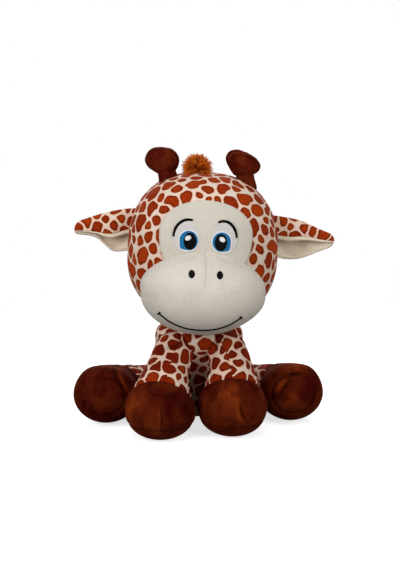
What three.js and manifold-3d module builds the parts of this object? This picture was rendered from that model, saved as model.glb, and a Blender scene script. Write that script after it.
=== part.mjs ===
// A seated plush giraffe, 400 mm tall: a big stuffed head on a pear-shaped body, two forelegs propped
// in front, two hind legs splayed to the sides, folded ears, two ossicones, a fur tuft and a tail.
// Millimetres, +Z up, the toy faces -Y and sits on Z = 0. Left and right are the giraffe's own.

import * as THREE from "three";
import { ConvexGeometry } from "three/addons/geometries/ConvexGeometry.js";
import { mergeVertices } from "three/addons/utils/BufferGeometryUtils.js";
import Module from "manifold-3d";

const wasm = await Module();
wasm.setup();

const degrees = THREE.MathUtils.degToRad;

// Clearances that every seam shares.
const seamGap = 0.35; // between two sewn pieces that touch
const stitchGap = 0.4; // under and around flat embroidery
const floorSink = 0.5; // how deep the stuffing flattens where it stands
const cutOverrun = 4; // how far a cutting shape runs past what it cuts
const weldReach = 1e-4; // points nearer than this are one

// Body: a pear that leans forward towards the neck.
const torso = {
  halfWidth: 74,
  halfDepth: 60,
  height: 147,
  seatBack: 42, // how far behind the neck's pivot the seat's middle lies
  shoulderBack: -2,
  columns: 24,
};
// Each row: share of the height, of the half width, of the half depth, and of the way from seat to shoulder.
const torsoShares = [
  [0.0, 0.62, 0.62, 0.0],
  [0.025, 0.79, 0.79, 0.0],
  [0.08, 0.91, 0.91, 0.01],
  [0.17, 0.98, 0.98, 0.03],
  [0.28, 1.0, 1.0, 0.07],
  [0.4, 0.98, 0.98, 0.17],
  [0.52, 0.93, 0.94, 0.34],
  [0.64, 0.87, 0.89, 0.56],
  [0.75, 0.81, 0.84, 0.76],
  [0.85, 0.76, 0.79, 0.92],
  [0.92, 0.7, 0.73, 1.0],
  [0.97, 0.6, 0.63, 1.0],
  [1.0, 0.42, 0.44, 1.0],
];

// Neck: a firm ball of filling that carries the head.
const neck = { radius: 41, pivotHeight: 13, columns: 18, rows: 12 }; // its middle above the torso's top

// Head: a full dome, rolled and turned a little as the toy sits.
const head = {
  halfWidth: 108,
  frontDepth: 98,
  backDepth: 93,
  upperHeight: 114,
  lowerHeight: 98,
  middleHeight: 90, // above the neck's pivot
  fullness: 2.4,
  roll: degrees(3),
  turn: degrees(2),
  columns: 28,
  rows: 18,
};

// Face patch: a thin cream panel laid over the front of the head.
const patch = {
  halfWidth: 63.5,
  upperHeight: 44,
  lowerHeight: 66,
  middleHeight: 40, // above the head's middle
  fullness: 2.3,
  thickness: 1.6,
  gap: 0.6, // under it
  columns: 28,
  rows: 6,
};

// Muzzle: a wide stuffed pouch sewn over the patch's lower edge.
const muzzle = {
  halfWidth: 86,
  frontDepth: 58,
  backDepth: 40,
  upperHeight: 58,
  lowerHeight: 55,
  forward: 92,
  middleHeight: -43, // above the head's middle
  fullness: 2.1,
  narrowShare: { left: 0.26, right: 0.04 }, // how much narrower its foot is on each side
  columns: 22,
  rows: 14,
};

// Embroidery thickness, for eyes, brows, nostrils and mouth.
const thread = { thickness: 0.9, columns: 16 };

// Eyes, in the front view: side is from the face's middle line, height above the head's middle.
const eyeWhite = { halfWidth: 17.9, halfHeight: 21.8, side: 24.8, height: 38.5, rows: 2 };
const iris = { halfWidth: 13.3, halfHeight: 13.6, side: 22.6, height: 33.2, fullness: 2.5, rows: 1 };
const pupil = { halfWidth: 8.8, halfHeight: 10.7, side: 21.6, height: 30.6, rows: 1 };
const glint = { halfWidth: 5.0, halfHeight: 3.4, side: 23.8, height: 37, tilt: degrees(27), rows: 1 };
const brow = {
  halfWidth: 18.8, // of the oval that the brow follows
  halfHeight: 23,
  from: degrees(192), // outer end
  to: degrees(66), // inner end
  halfThickness: 1.5,
  steps: 8,
};
const browTaperShares = [0.75, 1, 1, 0.9, 0.35]; // of the half thickness, outer end to inner end
const nostril = { halfWidth: 4.2, halfHeight: 5, side: 18.7, height: 38, rows: 1 }; // above the muzzle's middle
const mouth = {
  halfSpan: 53,
  side: -3, // its middle from the face's middle line
  endHeight: -19, // above the muzzle's middle
  sagDepth: 20,
  fullness: 2.3,
  halfThickness: 0.95,
  tickHalfLength: 2.6,
  tickHalfThickness: 1.3,
  steps: 16,
  tickSteps: 4,
};

// Ears: two layers curled into an open C, the upper half folded forward over the lining.
const earLength = { left: 81, right: 76 };
const ear = {
  droop: 4, // how far the tip hangs below the root's middle
  rootHeight: 27, // of its middle line above the head's middle
  upperHeight: 31,
  lowerHeight: 31,
  curlDepth: 10, // half depth of the C
  curlStart: degrees(-90),
  curlSweep: degrees(270),
  outerThickness: 1.8,
  liningThickness: 1.6,
  liningGap: 0.7, // between the two layers
  rootRadius: 5,
  rootColumns: 10,
  rootCapRows: 2,
  rootOut: 3, // the root's middle line outside the head's side at its ends
  swingRoom: 3, // between the folded layer and the head's side
  stations: 7,
  columns: 9,
};
// Of the ear's upper and lower height and of its curl, at even steps from root to tip.
const earUpperShares = [0.97, 0.97, 0.93, 0.85, 0.72, 0.56, 0.36, 0.14];
const earLowerShares = [0.95, 1.0, 0.96, 0.82, 0.64, 0.48, 0.32, 0.14];
const earCurlShares = [0.34, 0.7, 0.98, 1.0, 0.92, 0.78, 0.6, 0.36];

// Ossicones: a short stem on a seated ball, and a padded knob.
const ossiconeSeat = { radius: 16, columns: 12, rows: 8 }; // the ball that it leans on
const ossicone = {
  sideShare: 0.523, // of the head's half width, from its middle
  seatSink: 1, // its ball's middle below the head's surface
  stemRadius: 12.5,
  knobHalfWidth: 25.5,
  knobFlatShare: 0.74, // depth over width
  knobHeight: 34,
  knobFootHeight: 9, // above the ball's middle
  columns: 14,
};
const knobShares = [
  [0, 0],
  [0.44, 0],
  [0.6, 0.1],
  [0.84, 0.3],
  [0.98, 0.52],
  [1.0, 0.68],
  [0.9, 0.86],
  [0.62, 0.97],
  [0.3, 1.0],
  [0, 1.0],
];
const ossiconeLean = { left: degrees(-9), right: degrees(-17) }; // both lean to the giraffe's right
const knobTwist = { left: degrees(24), right: degrees(4) }; // the knob's own tilt on its stem

// Hair tuft: a ball of long pile between the ossicones.
const tuft = {
  halfWidth: 21,
  halfDepth: 17,
  upperHeight: 18,
  lowerHeight: 17,
  side: -14,
  middleHeight: 11, // above the head's surface
  fullness: 2,
  columns: 16,
  rows: 10,
};

// Forelegs: a shoulder ball, a flaring leg and a bell-shaped hoof that stands on its sole.
const foreleg = {
  shoulderSide: 38,
  shoulderShift: 2, // both shoulders sit a little to the left
  shoulderForward: 42,
  shoulderDrop: 34, // below the torso's top
  leadSide: 9, // first handle of the leg's curve
  leadForward: 13,
  leadDown: 20,
  ankleHeight: 20, // second handle, above the hoof's middle
  hoofRadius: 49,
  hoofHeight: 40,
  solePointShare: 0.4, // where the sole's seam lies, from the hoof's middle to the floor
  soleFullness: 2.3,
  swing: [degrees(-4), degrees(35)],
  columns: 18,
};
const forehoofPlace = {
  left: { side: 47, forward: 70 },
  right: { side: 54, forward: 84 },
};
const forelegRadiusShares = [0.58, 0.585, 0.63, 0.725, 0.83]; // of the hoof's, to the ankle seam
const forehoofRadiusShares = [0.83, 0.91, 0.965, 0.99, 1.0]; // from the ankle seam to the hoof's middle
const forelegSeamShare = 0.66; // along the curve

// Hind legs: a haunch ball, a fat leg and a bulb hoof whose sole faces forward.
const hindleg = {
  hipSide: 65,
  hipBack: 42,
  hipHeight: 39,
  leadSide: 32,
  hoofHeight: 42,
  hoofRadius: 46.5,
  flatShare: 0.86, // height over width
  hoofDepth: 37, // from the hoof's middle to the sole's face
  ankleBack: 32, // second handle, behind the hoof's middle
  soleYaw: degrees(5), // the sole's outward turn
  soleTilt: degrees(11), // and its upward tilt
  solePointShare: 0.84,
  soleFullness: 2.7,
  splay: [degrees(-2), degrees(30)],
  columns: 18,
};
const hindhoofPlace = {
  left: { side: 134, forward: 8 },
  right: { side: 135, forward: 20 },
};
const hindlegRadiusShares = [0.7, 0.73, 0.76, 0.8, 0.84]; // of the hoof's, to the ankle seam
const hindhoofRadiusShares = [0.85, 0.9, 0.96, 0.99, 1.0];
const hindlegSeamShare = 0.46;

const soleDepthShares = [0, 0.3, 0.54, 0.74, 0.9, 0.97, 1]; // of the hoof's depth, from its middle outwards
const ballRows = 3; // rings from a ball's pole to its equator
const polePlaceShare = 0.25; // of a row: the first ring's distance from the pole
const sweepSteps = 2; // steps between the poses that a leg's recess is taken from
const recessColumns = 12;

// Tail: a thin printed tube with a pile tassel, lying behind the seat.
const tailSeat = { radius: 8, columns: 10, rows: 8 }; // the ball that it turns on
const tail = {
  rootHeight: 40,
  rootSink: 3,
  radius: 6,
  backReach: 44,
  sideReach: 16,
  tasselRadius: 11,
  tasselLength: 40,
  columns: 10,
  stations: 6,
};
const tasselRadiusShares = [0.5, 0.78, 0.97, 1.0, 0.86, 0.55, 0.2];

const colours = {
  print: new THREE.MeshStandardMaterial({ color: 0xb86c44, roughness: 0.9, metalness: 0 }),
  cream: new THREE.MeshStandardMaterial({ color: 0xd9d2c4, roughness: 0.9, metalness: 0 }),
  brown: new THREE.MeshStandardMaterial({ color: 0x4a1a0c, roughness: 0.85, metalness: 0 }),
  fur: new THREE.MeshStandardMaterial({ color: 0xb5621f, roughness: 0.95, metalness: 0 }),
  filling: new THREE.MeshStandardMaterial({ color: 0xefefea, roughness: 1, metalness: 0 }),
  white: new THREE.MeshStandardMaterial({ color: 0xeceaf0, roughness: 0.6, metalness: 0 }),
  blue: new THREE.MeshStandardMaterial({ color: 0x1f78b4, roughness: 0.5, metalness: 0 }),
  black: new THREE.MeshStandardMaterial({ color: 0x0b0b0b, roughness: 0.5, metalness: 0 }),
};

// Solids

// A closed three.js geometry as a solid for cutting and joining.
function solidOf(geometry) {
  const bare = geometry.clone();
  for (const name of Object.keys(bare.attributes)) if (name !== "position") bare.deleteAttribute(name);
  const merged = mergeVertices(bare, weldReach);
  const triVerts = [];
  const index = merged.index.array;
  for (let i = 0; i < index.length; i += 3) {
    const [a, b, c] = index.subarray(i, i + 3);
    if (a !== b && b !== c && c !== a) triVerts.push(a, b, c);
  }
  return new wasm.Manifold(
    new wasm.Mesh({
      numProp: 3,
      vertProperties: merged.attributes.position.array,
      triVerts: new Uint32Array(triVerts),
    }),
  );
}

// A solid as a named mesh.
function piece(name, solid, material) {
  const made = solid.getMesh();
  const geometry = new THREE.BufferGeometry()
    .setAttribute("position", new THREE.BufferAttribute(new Float32Array(made.vertProperties), 3))
    .setIndex(new THREE.BufferAttribute(new Uint32Array(made.triVerts), 1));
  geometry.computeVertexNormals();
  const mesh = new THREE.Mesh(geometry, material);
  mesh.name = name;
  return mesh;
}

// Geometry from a grid of points, rows by columns; its faces look along row direction x column direction.
function gridGeometry(rows, closedRound) {
  const columns = rows[0].length;
  const positions = rows.flat().flatMap((p) => p.toArray());
  const index = [];
  const reach = closedRound ? columns : columns - 1;
  for (let r = 0; r + 1 < rows.length; r++) {
    for (let c = 0; c < reach; c++) {
      const next = (c + 1) % columns;
      const [near, far] = [r * columns, (r + 1) * columns];
      index.push(near + c, near + next, far + next, near + c, far + next, far + c);
    }
  }
  return new THREE.BufferGeometry()
    .setAttribute("position", new THREE.Float32BufferAttribute(positions, 3))
    .setIndex(index);
}

// A skin through rings of points, closed by a flat face at each end.
function skinOf(rings) {
  const columns = rings[0].length;
  const middle = (ring) => ring.reduce((sum, p) => sum.add(p), new THREE.Vector3()).divideScalar(columns);
  const pole = (ring) => ring.map(() => middle(ring));
  return solidOf(gridGeometry([pole(rings[0]), ...rings, pole(rings.at(-1))], true));
}

// A sheet of cloth between two point grids: the outer face and the inner one under it.
function slabOf(outer, inner, closedRound) {
  const under = inner.map((row) => [...row]).reverse();
  if (closedRound) return solidOf(gridGeometry([...outer, ...under], true));
  const around = [...outer, ...under, outer[0]];
  const sheet = gridGeometry(around, false);
  const wall = (column) => {
    const strip = outer.map((row, r) => [row.at(column), inner[r].at(column)]);
    return gridGeometry(column === 0 ? strip.map((pair) => pair.reverse()) : strip, false);
  };
  return solidOf(joined([sheet, wall(0), wall(-1)]));
}

function joined(geometries) {
  const positions = [];
  const index = [];
  for (const g of geometries) {
    const start = positions.length / 3;
    positions.push(...g.attributes.position.array);
    index.push(...[...g.index.array].map((i) => i + start));
  }
  return new THREE.BufferGeometry()
    .setAttribute("position", new THREE.Float32BufferAttribute(positions, 3))
    .setIndex(index);
}

// The value at share t of a table of even steps, eased between its entries.
function along(shares, t) {
  const points = shares.map((value, i) => new THREE.Vector2(i, value));
  return new THREE.SplineCurve(points).getPoint(THREE.MathUtils.clamp(t, 0, 1)).y;
}

// Stuffed forms

// How far a full form reaches along a direction: a ball drawn out to its half sizes and squared off a little.
function reachOf(form, d) {
  const depth = d.y < 0 ? form.frontDepth : form.backDepth;
  const height = d.z < 0 ? form.lowerHeight : form.upperHeight;
  const sizes = [form.halfWidth, depth, height];
  const sum = d.toArray().reduce((total, v, i) => total + Math.abs(v / sizes[i]) ** form.fullness, 0);
  return sum ** (-1 / form.fullness);
}

// How much of its width a form keeps at height z, where its foot is narrower on that side.
function keptWidth({ narrowShare, lowerHeight }, x, z) {
  if (!narrowShare || z >= 0) return 1;
  return 1 - (x > 0 ? narrowShare.left : narrowShare.right) * Math.min(-z / lowerHeight, 1) ** 2;
}

// The form as a solid about its own middle, larger all round by grow.
function stuffed(form, grow = 0) {
  const grown = { ...form };
  for (const size of ["halfWidth", "frontDepth", "backDepth", "upperHeight", "lowerHeight"]) {
    grown[size] += grow;
  }
  const ball = new THREE.SphereGeometry(1, form.columns, form.rows).rotateX(Math.PI / 2);
  const place = ball.attributes.position;
  const d = new THREE.Vector3();
  for (let i = 0; i < place.count; i++) {
    d.fromBufferAttribute(place, i).normalize();
    d.multiplyScalar(reachOf(grown, d));
    place.setXYZ(i, d.x * keptWidth(grown, d.x, d.z), d.y, d.z);
  }
  return solidOf(ball);
}

// The point of a form's front face at x and z from its middle, with its outward normal.
function frontOf(form, x, z) {
  const n = form.fullness;
  const height = z < 0 ? form.lowerHeight : form.upperHeight;
  const width = form.halfWidth * keptWidth(form, x, z);
  const rest = 1 - Math.abs(x / width) ** n - Math.abs(z / height) ** n;
  const y = -form.frontDepth * Math.max(rest, 0) ** (1 / n);
  const slope = (v, size) => (Math.sign(v) * Math.abs(v / size) ** (n - 1)) / size;
  return {
    point: new THREE.Vector3(x, y, z),
    normal: new THREE.Vector3(slope(x, width), slope(y, form.frontDepth), slope(z, height)).normalize(),
  };
}

const lifted = (form, [x, z], lift) => {
  const { point, normal } = frontOf(form, x, z);
  return point.addScaledVector(normal, lift);
};

// A flat shape laid on a form's front. outline gives the edge at an angle, from the shape's centre.
function applique(form, centre, outline, lift, thickness, { columns, rows }) {
  const grid = (height) =>
    Array.from({ length: rows + 1 }, (_, r) =>
      Array.from({ length: columns }, (_, c) => {
        const [x, z] = outline((-2 * Math.PI * c) / columns);
        const share = r / rows;
        return lifted(form, [centre[0] + x * share, centre[1] + z * share], height);
      }),
    );
  return slabOf(grid(lift + thickness), grid(lift), true);
}

// An oval outline with an optional tilt, growth and squareness.
function oval({ halfWidth, halfHeight, tilt = 0, fullness = 2 }, grow = 0) {
  const power = 2 / fullness;
  const turned = (v) => Math.sign(v) * Math.abs(v) ** power;
  return (angle) => {
    const x = turned(Math.cos(angle)) * (halfWidth + grow);
    const z = turned(Math.sin(angle)) * (halfHeight + grow);
    return [x * Math.cos(tilt) - z * Math.sin(tilt), x * Math.sin(tilt) + z * Math.cos(tilt)];
  };
}

// A sewn line laid on a form's front, along path(t), as wide as width(t) to each side.
function ribbon(form, path, width, lift, thickness, steps) {
  const sides = [1, 0, -1];
  const step = 1 / steps;
  const grid = (height) =>
    Array.from({ length: steps + 1 }, (_, i) => {
      const t = i * step;
      const [ax, az] = path(Math.max(t - step, 0));
      const [bx, bz] = path(Math.min(t + step, 1));
      const across = new THREE.Vector2(az - bz, bx - ax).normalize().multiplyScalar(width(t));
      const [x, z] = path(t);
      return sides.map((s) => lifted(form, [x + across.x * s, z + across.y * s], height));
    });
  return slabOf(grid(lift + thickness), grid(lift), false);
}

// Limbs

// A ring of points round a centre, in the plane square to heading; up gives its first point's side,
// and flatShare its height over its width.
function ringOf(centre, heading, up, radius, columns, flatShare = 1) {
  const across = new THREE.Vector3().crossVectors(heading, up).normalize();
  const over = new THREE.Vector3().crossVectors(across, heading).normalize();
  return Array.from({ length: columns }, (_, c) => {
    const angle = (2 * Math.PI * c) / columns;
    return centre
      .clone()
      .addScaledVector(over, radius * flatShare * Math.cos(angle))
      .addScaledVector(across, radius * Math.sin(angle));
  });
}

// Rings of the half ball behind a limb's pivot, pole first.
function ballRings(curve, up, radius, columns, flatShare) {
  const [centre, heading] = [curve.getPoint(0), curve.getTangent(0)];
  return Array.from({ length: ballRows }, (_, r) => {
    const angle = (Math.PI / 2) * ((r + polePlaceShare) / ballRows);
    const back = centre.clone().addScaledVector(heading, -radius * Math.cos(angle));
    return ringOf(back, heading, up, radius * Math.sin(angle), columns, flatShare);
  });
}

// The rings of one limb as { leg, hoof, sole }, larger all round by grow and then by the ratio swell.
function limbRings(limb, grow = 0, swell = 1) {
  const { curve, up, radius, flatShare, columns, depth, fullness, seamShare, solePointShare } = limb;
  const wide = (r) => (r + grow) * swell;
  const at = (t, r) => ringOf(curve.getPoint(t), curve.getTangent(t), up, wide(r), columns, flatShare);
  const legSteps = limb.legShares.length - 1;
  const hoofSteps = limb.hoofShares.length - 1;
  const leg = [
    ...ballRings(curve, up, wide(radius * limb.legShares[0]), columns, flatShare),
    ...limb.legShares.map((share, i) => at((seamShare * i) / legSteps, radius * share)),
  ];
  const seamStep = curve.getTangent(seamShare).multiplyScalar(seamGap);
  const hoof = limb.hoofShares.map((share, i) =>
    at(THREE.MathUtils.lerp(seamShare, 1, i / hoofSteps), radius * share),
  );
  hoof[0].forEach((p) => p.add(seamStep));
  const [middle, heading] = [curve.getPoint(1), curve.getTangent(1)];
  const beyond = (share) => {
    const r = radius * Math.max(1 - share ** fullness, 0) ** (1 / fullness);
    const centre = middle.clone().addScaledVector(heading, depth * share);
    return ringOf(centre, heading, up, wide(r), columns, flatShare);
  };
  const soleGapShare = seamGap / depth;
  const hoofRest = soleDepthShares.filter((share) => share > 0 && share < solePointShare);
  hoof.push(...hoofRest.map(beyond), beyond(solePointShare));
  const soleRest = soleDepthShares.filter((share) => share > solePointShare + soleGapShare);
  const sole = [beyond(solePointShare + soleGapShare), ...soleRest.map(beyond)];
  return { leg, hoof, sole };
}

// The room a leg needs as it turns about its pivot over its travel, with the seam's clearance.
// Its rings are wider by what their flats fall short of a circle.
function recessOf(limb) {
  const [low, high] = limb.travel;
  const coarse = { ...limb, columns: recessColumns };
  const flats = Math.cos(Math.PI / recessColumns);
  const points = limbRings(coarse, seamGap, 1 / flats).leg.flat();
  const pivot = limb.curve.getPoint(0);
  const swept = [];
  for (let i = 0; i <= sweepSteps; i++) {
    const turn = THREE.MathUtils.lerp(low, high, i / sweepSteps);
    swept.push(...points.map((p) => p.clone().sub(pivot).applyAxisAngle(limb.axis, turn).add(pivot)));
  }
  return solidOf(new ConvexGeometry(swept));
}

// Everything under the floor, to flatten what stands on it.
function underFloor() {
  const span = 2 * (head.halfWidth + earLength.left + cutOverrun);
  return solidOf(new THREE.BoxGeometry(span, span, span).translate(0, 0, -span / 2));
}

function ballAt(centre, { radius, columns, rows }, turn = 0) {
  const ball = new THREE.SphereGeometry(radius, columns, rows).rotateY(turn);
  return solidOf(ball.translate(...centre.toArray()));
}

// The socket that a ball turns in: its flats clear the ball's corners by the seam's gap, and lie
// opposite them at rest.
function socketAt(centre, { radius, columns, rows }) {
  const flats = Math.cos(Math.PI / columns) * Math.cos(Math.PI / (2 * rows));
  return ballAt(centre, { radius: (radius + seamGap) / flats, columns, rows }, Math.PI / columns);
}

const sides = { left: 1, right: -1 }; // the giraffe faces -Y, so its left is +X
const floor = underFloor();

function forelimb(side) {
  const s = sides[side];
  const place = forehoofPlace[side];
  const shoulder = new THREE.Vector3(
    foreleg.shoulderShift + s * foreleg.shoulderSide,
    -foreleg.shoulderForward,
    torso.height - foreleg.shoulderDrop,
  );
  const hoof = new THREE.Vector3(s * place.side, -place.forward, foreleg.hoofHeight - floorSink);
  const reach = new THREE.Vector3(s * foreleg.leadSide, -foreleg.leadForward, -foreleg.leadDown);
  const lead = shoulder.clone().add(reach);
  const ankle = hoof.clone().add(new THREE.Vector3(0, 0, foreleg.ankleHeight));
  return {
    curve: new THREE.CubicBezierCurve3(shoulder, lead, ankle, hoof),
    up: new THREE.Vector3(0, 1, 0),
    radius: foreleg.hoofRadius,
    depth: foreleg.hoofHeight,
    columns: foreleg.columns,
    fullness: foreleg.soleFullness,
    seamShare: forelegSeamShare,
    solePointShare: foreleg.solePointShare,
    legShares: forelegRadiusShares,
    hoofShares: forehoofRadiusShares,
    axis: new THREE.Vector3(-1, 0, 0),
    travel: foreleg.swing,
  };
}

function hindlimb(side) {
  const s = sides[side];
  const hip = new THREE.Vector3(s * hindleg.hipSide, hindleg.hipBack, hindleg.hipHeight);
  const place = hindhoofPlace[side];
  const hoof = new THREE.Vector3(s * place.side, -place.forward, hindleg.hoofHeight);
  const heading = new THREE.Vector3(
    s * Math.sin(hindleg.soleYaw) * Math.cos(hindleg.soleTilt),
    -Math.cos(hindleg.soleYaw) * Math.cos(hindleg.soleTilt),
    Math.sin(hindleg.soleTilt),
  );
  const lead = hip.clone().add(new THREE.Vector3(s * hindleg.leadSide, 0, 0));
  const ankle = hoof.clone().addScaledVector(heading, -hindleg.ankleBack);
  return {
    curve: new THREE.CubicBezierCurve3(hip, lead, ankle, hoof),
    up: new THREE.Vector3(0, 0, 1),
    radius: hindleg.hoofRadius,
    flatShare: hindleg.flatShare,
    depth: hindleg.hoofDepth,
    columns: hindleg.columns,
    fullness: hindleg.soleFullness,
    seamShare: hindlegSeamShare,
    solePointShare: hindleg.solePointShare,
    legShares: hindlegRadiusShares,
    hoofShares: hindhoofRadiusShares,
    axis: new THREE.Vector3(0, 0, s),
    travel: hindleg.splay,
  };
}

function limbPieces(prefix, side, limb) {
  const rings = limbRings(limb);
  const stand = (part) => skinOf(part).subtract(floor);
  return [
    piece(`${prefix}leg_${side}`, stand(rings.leg), colours.print),
    piece(`${prefix}hoof_${side}`, stand(rings.hoof), colours.brown),
    piece(`${prefix}hoof_sole_${side}`, stand(rings.sole), colours.brown),
  ];
}

// Tail

const tailRoot = new THREE.Vector3(0, torso.seatBack + torso.halfDepth - tail.rootSink, tail.rootHeight);

function tailPieces() {
  const end = new THREE.Vector3(tail.sideReach, tailRoot.y + tail.backReach, tail.tasselRadius);
  const lead = tailRoot.clone().add(new THREE.Vector3(0, tail.backReach / 2, 0));
  const landing = new THREE.Vector3(tail.sideReach / 2, end.y - tail.backReach / 4, tail.tasselRadius);
  const curve = new THREE.CubicBezierCurve3(tailRoot, lead, landing, end);
  const up = new THREE.Vector3(1, 0, 0);
  const tube = Array.from({ length: tail.stations + 1 }, (_, i) => {
    const t = i / tail.stations;
    return ringOf(curve.getPoint(t), curve.getTangent(t), up, tail.radius, tail.columns);
  });
  const heading = curve.getTangent(1);
  const tassel = tasselRadiusShares.map((share, i) => {
    const reach = seamGap + (tail.tasselLength * i) / (tasselRadiusShares.length - 1);
    const centre = end.clone().addScaledVector(heading, reach);
    return ringOf(centre, heading, up, tail.tasselRadius * share, tail.columns);
  });
  return [
    piece("tail", skinOf(tube).add(ballAt(tailRoot, tailSeat)), colours.print),
    piece("tail_tassel", skinOf(tassel).subtract(floor), colours.fur),
  ];
}

// Torso

function torsoPiece(limbs) {
  const rings = torsoShares.map(([rise, width, depth, lean]) => {
    const back = THREE.MathUtils.lerp(torso.seatBack, torso.shoulderBack, lean);
    return Array.from({ length: torso.columns }, (_, c) => {
      const angle = (2 * Math.PI * c) / torso.columns;
      return new THREE.Vector3(
        torso.halfWidth * width * Math.cos(angle),
        back + torso.halfDepth * depth * Math.sin(angle),
        torso.height * rise - floorSink,
      );
    });
  });
  let body = skinOf(rings).subtract(floor);
  body = body.subtract(socketAt(neckPivot, neck)).subtract(socketAt(tailRoot, tailSeat));
  for (const limb of limbs) body = body.subtract(recessOf(limb));
  return piece("torso", body, colours.print);
}

// Head, in a frame whose origin is the neck's pivot

const neckPivot = new THREE.Vector3(0, 0, torso.height + neck.pivotHeight);
const headMiddle = new THREE.Vector3(0, 0, head.middleHeight);
const muzzleMiddle = new THREE.Vector3(0, -muzzle.forward, head.middleHeight + muzzle.middleHeight);
const onHead = (solid) => solid.translate(headMiddle.toArray());
const onMuzzle = (solid) => solid.translate(muzzleMiddle.toArray());

// How high the head's top lies above its middle, at x.
function crownOver(x) {
  return head.upperHeight * (1 - Math.abs(x / head.halfWidth) ** head.fullness) ** (1 / head.fullness);
}

// How far out the head's side lies at a height above its middle.
function sideAt(z) {
  return head.halfWidth * (1 - Math.abs(z / head.upperHeight) ** head.fullness) ** (1 / head.fullness);
}

// The ear's seam on the head's side, from its lower to its upper end.
function earRoot(s) {
  const low = ear.rootHeight - ear.lowerHeight;
  const high = ear.rootHeight + ear.upperHeight;
  const reach = (z) => sideAt(Math.max(z, 0)) + ear.rootOut;
  return [low, high].map((z) => new THREE.Vector3(s * reach(z), 0, head.middleHeight + z));
}

// The radius of the groove that an ear's root turns in.
const rollRoom = (ear.rootRadius + seamGap) / Math.cos(Math.PI / ear.rootColumns) ** 2;

// The round-ended roll along an ear's seam, with its ends rounded about the same two points at any
// radius; spin turns its flats about its length.
function rollAlong([from, to], radius, spin = 0) {
  const length = from.distanceTo(to) - 2 * ear.rootRadius;
  const turn = new THREE.Quaternion().setFromUnitVectors(
    new THREE.Vector3(0, 1, 0),
    to.clone().sub(from).normalize(),
  );
  const middle = from.clone().lerp(to, 0.5);
  const roll = new THREE.CapsuleGeometry(radius, length, ear.rootCapRows, ear.rootColumns);
  return solidOf(roll.rotateY(spin).applyQuaternion(turn).translate(...middle.toArray()));
}

// The groove in the head's side, its flats opposite the root's corners at rest.
function earGroove(side) {
  return rollAlong(earRoot(sides[side]), rollRoom, Math.PI / ear.rootColumns);
}

// The C-shaped layer of one ear between two offsets from its middle surface, from one of its stations on.
function earLayer(side, firstStation, inner, outer) {
  const s = sides[side];
  const [low, high] = earRoot(s);
  const rootHeight = head.middleHeight + ear.rootHeight;
  const tipReach = (Math.abs(low.x) + Math.abs(high.x)) / 2 + earLength[side];
  const point = (u, v, offset) => {
    const angle = ear.curlStart - ear.curlSweep * v;
    const upward = Math.sin(angle) > 0;
    const shares = upward ? earUpperShares : earLowerShares;
    const height = (upward ? ear.upperHeight : ear.lowerHeight) * along(shares, u);
    const depth = ear.curlDepth * along(earCurlShares, u);
    const rise = rootHeight + Math.sin(angle) * height;
    const rootX = THREE.MathUtils.mapLinear(rise, low.z, high.z, Math.abs(low.x), Math.abs(high.x));
    const out = new THREE.Vector2(Math.cos(angle) / depth, Math.sin(angle) / height).normalize();
    return new THREE.Vector3(
      s * THREE.MathUtils.lerp(rootX, tipReach, u),
      -(depth * Math.cos(angle) + out.x * offset),
      rise - ear.droop * u * u + out.y * offset,
    );
  };
  const grid = (offset) =>
    Array.from({ length: ear.stations + 1 - firstStation }, (_, i) =>
      Array.from({ length: ear.columns + 1 }, (_, j) =>
        point((firstStation + i) / ear.stations, j / ear.columns, offset),
      ),
    );
  const [far, near] = s > 0 ? [grid(outer), grid(inner)] : [grid(inner), grid(outer)];
  return slabOf(far, near, false);
}

function earPieces(side) {
  const root = rollAlong(earRoot(sides[side]), ear.rootRadius);
  const room = onHead(stuffed(head, ear.swingRoom));
  const outer = earLayer(side, 0, 0, ear.outerThickness).subtract(room).add(root);
  const lining = earLayer(side, 1, -ear.liningGap - ear.liningThickness, -ear.liningGap);
  return [
    piece(`ear_outer_${side}`, outer, colours.print),
    piece(`ear_lining_${side}`, lining.subtract(earGroove(side)), colours.cream),
  ];
}

function ossiconeFoot(side) {
  const x = sides[side] * head.halfWidth * ossicone.sideShare;
  return new THREE.Vector3(x, 0, head.middleHeight + crownOver(x) - ossicone.seatSink);
}

function ossiconePieces(side) {
  const foot = ossiconeFoot(side);
  const lean = ossiconeLean[side];
  const knobShape = (grow) => {
    const profile = knobShares.map(
      ([across, up]) =>
        new THREE.Vector2(
          across * (ossicone.knobHalfWidth + grow),
          up * (ossicone.knobHeight + 2 * grow) - grow,
        ),
    );
    return new THREE.LatheGeometry(profile, ossicone.columns)
      .rotateX(Math.PI / 2)
      .scale(1, ossicone.knobFlatShare, 1)
      .translate(0, 0, -ossicone.knobHeight / 2)
      .rotateY(knobTwist[side])
      .translate(0, 0, ossicone.knobFootHeight + ossicone.knobHeight / 2);
  };
  const stemLength = ossicone.knobFootHeight + ossicone.stemRadius;
  const { stemRadius, columns } = ossicone;
  const tube = new THREE.CylinderGeometry(stemRadius, stemRadius, stemLength, columns)
    .rotateX(Math.PI / 2)
    .translate(0, 0, stemLength / 2);
  const place = (geometry) => solidOf(geometry.rotateY(lean).translate(...foot.toArray()));
  const stem = place(tube).add(ballAt(foot, ossiconeSeat));
  return [
    piece(`ossicone_stem_${side}`, stem.subtract(place(knobShape(seamGap))), colours.brown),
    piece(`ossicone_knob_${side}`, place(knobShape(0)), colours.brown),
  ];
}

// The patch as a solid; grow widens it and thickens it to cut clearance in what lies over it.
function patchSolid(grow) {
  const shares = oval({ halfWidth: 1, halfHeight: 1, fullness: patch.fullness });
  const outline = (angle) => {
    const [across, over] = shares(angle);
    const height = over > 0 ? patch.upperHeight : patch.lowerHeight;
    return [across * (patch.halfWidth + grow), over * (height + grow)];
  };
  const lift = grow > 0 ? -cutOverrun : patch.gap;
  const thickness = patch.gap + patch.thickness + grow - lift;
  return onHead(applique(head, [0, patch.middleHeight], outline, lift, thickness, patch));
}

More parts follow.
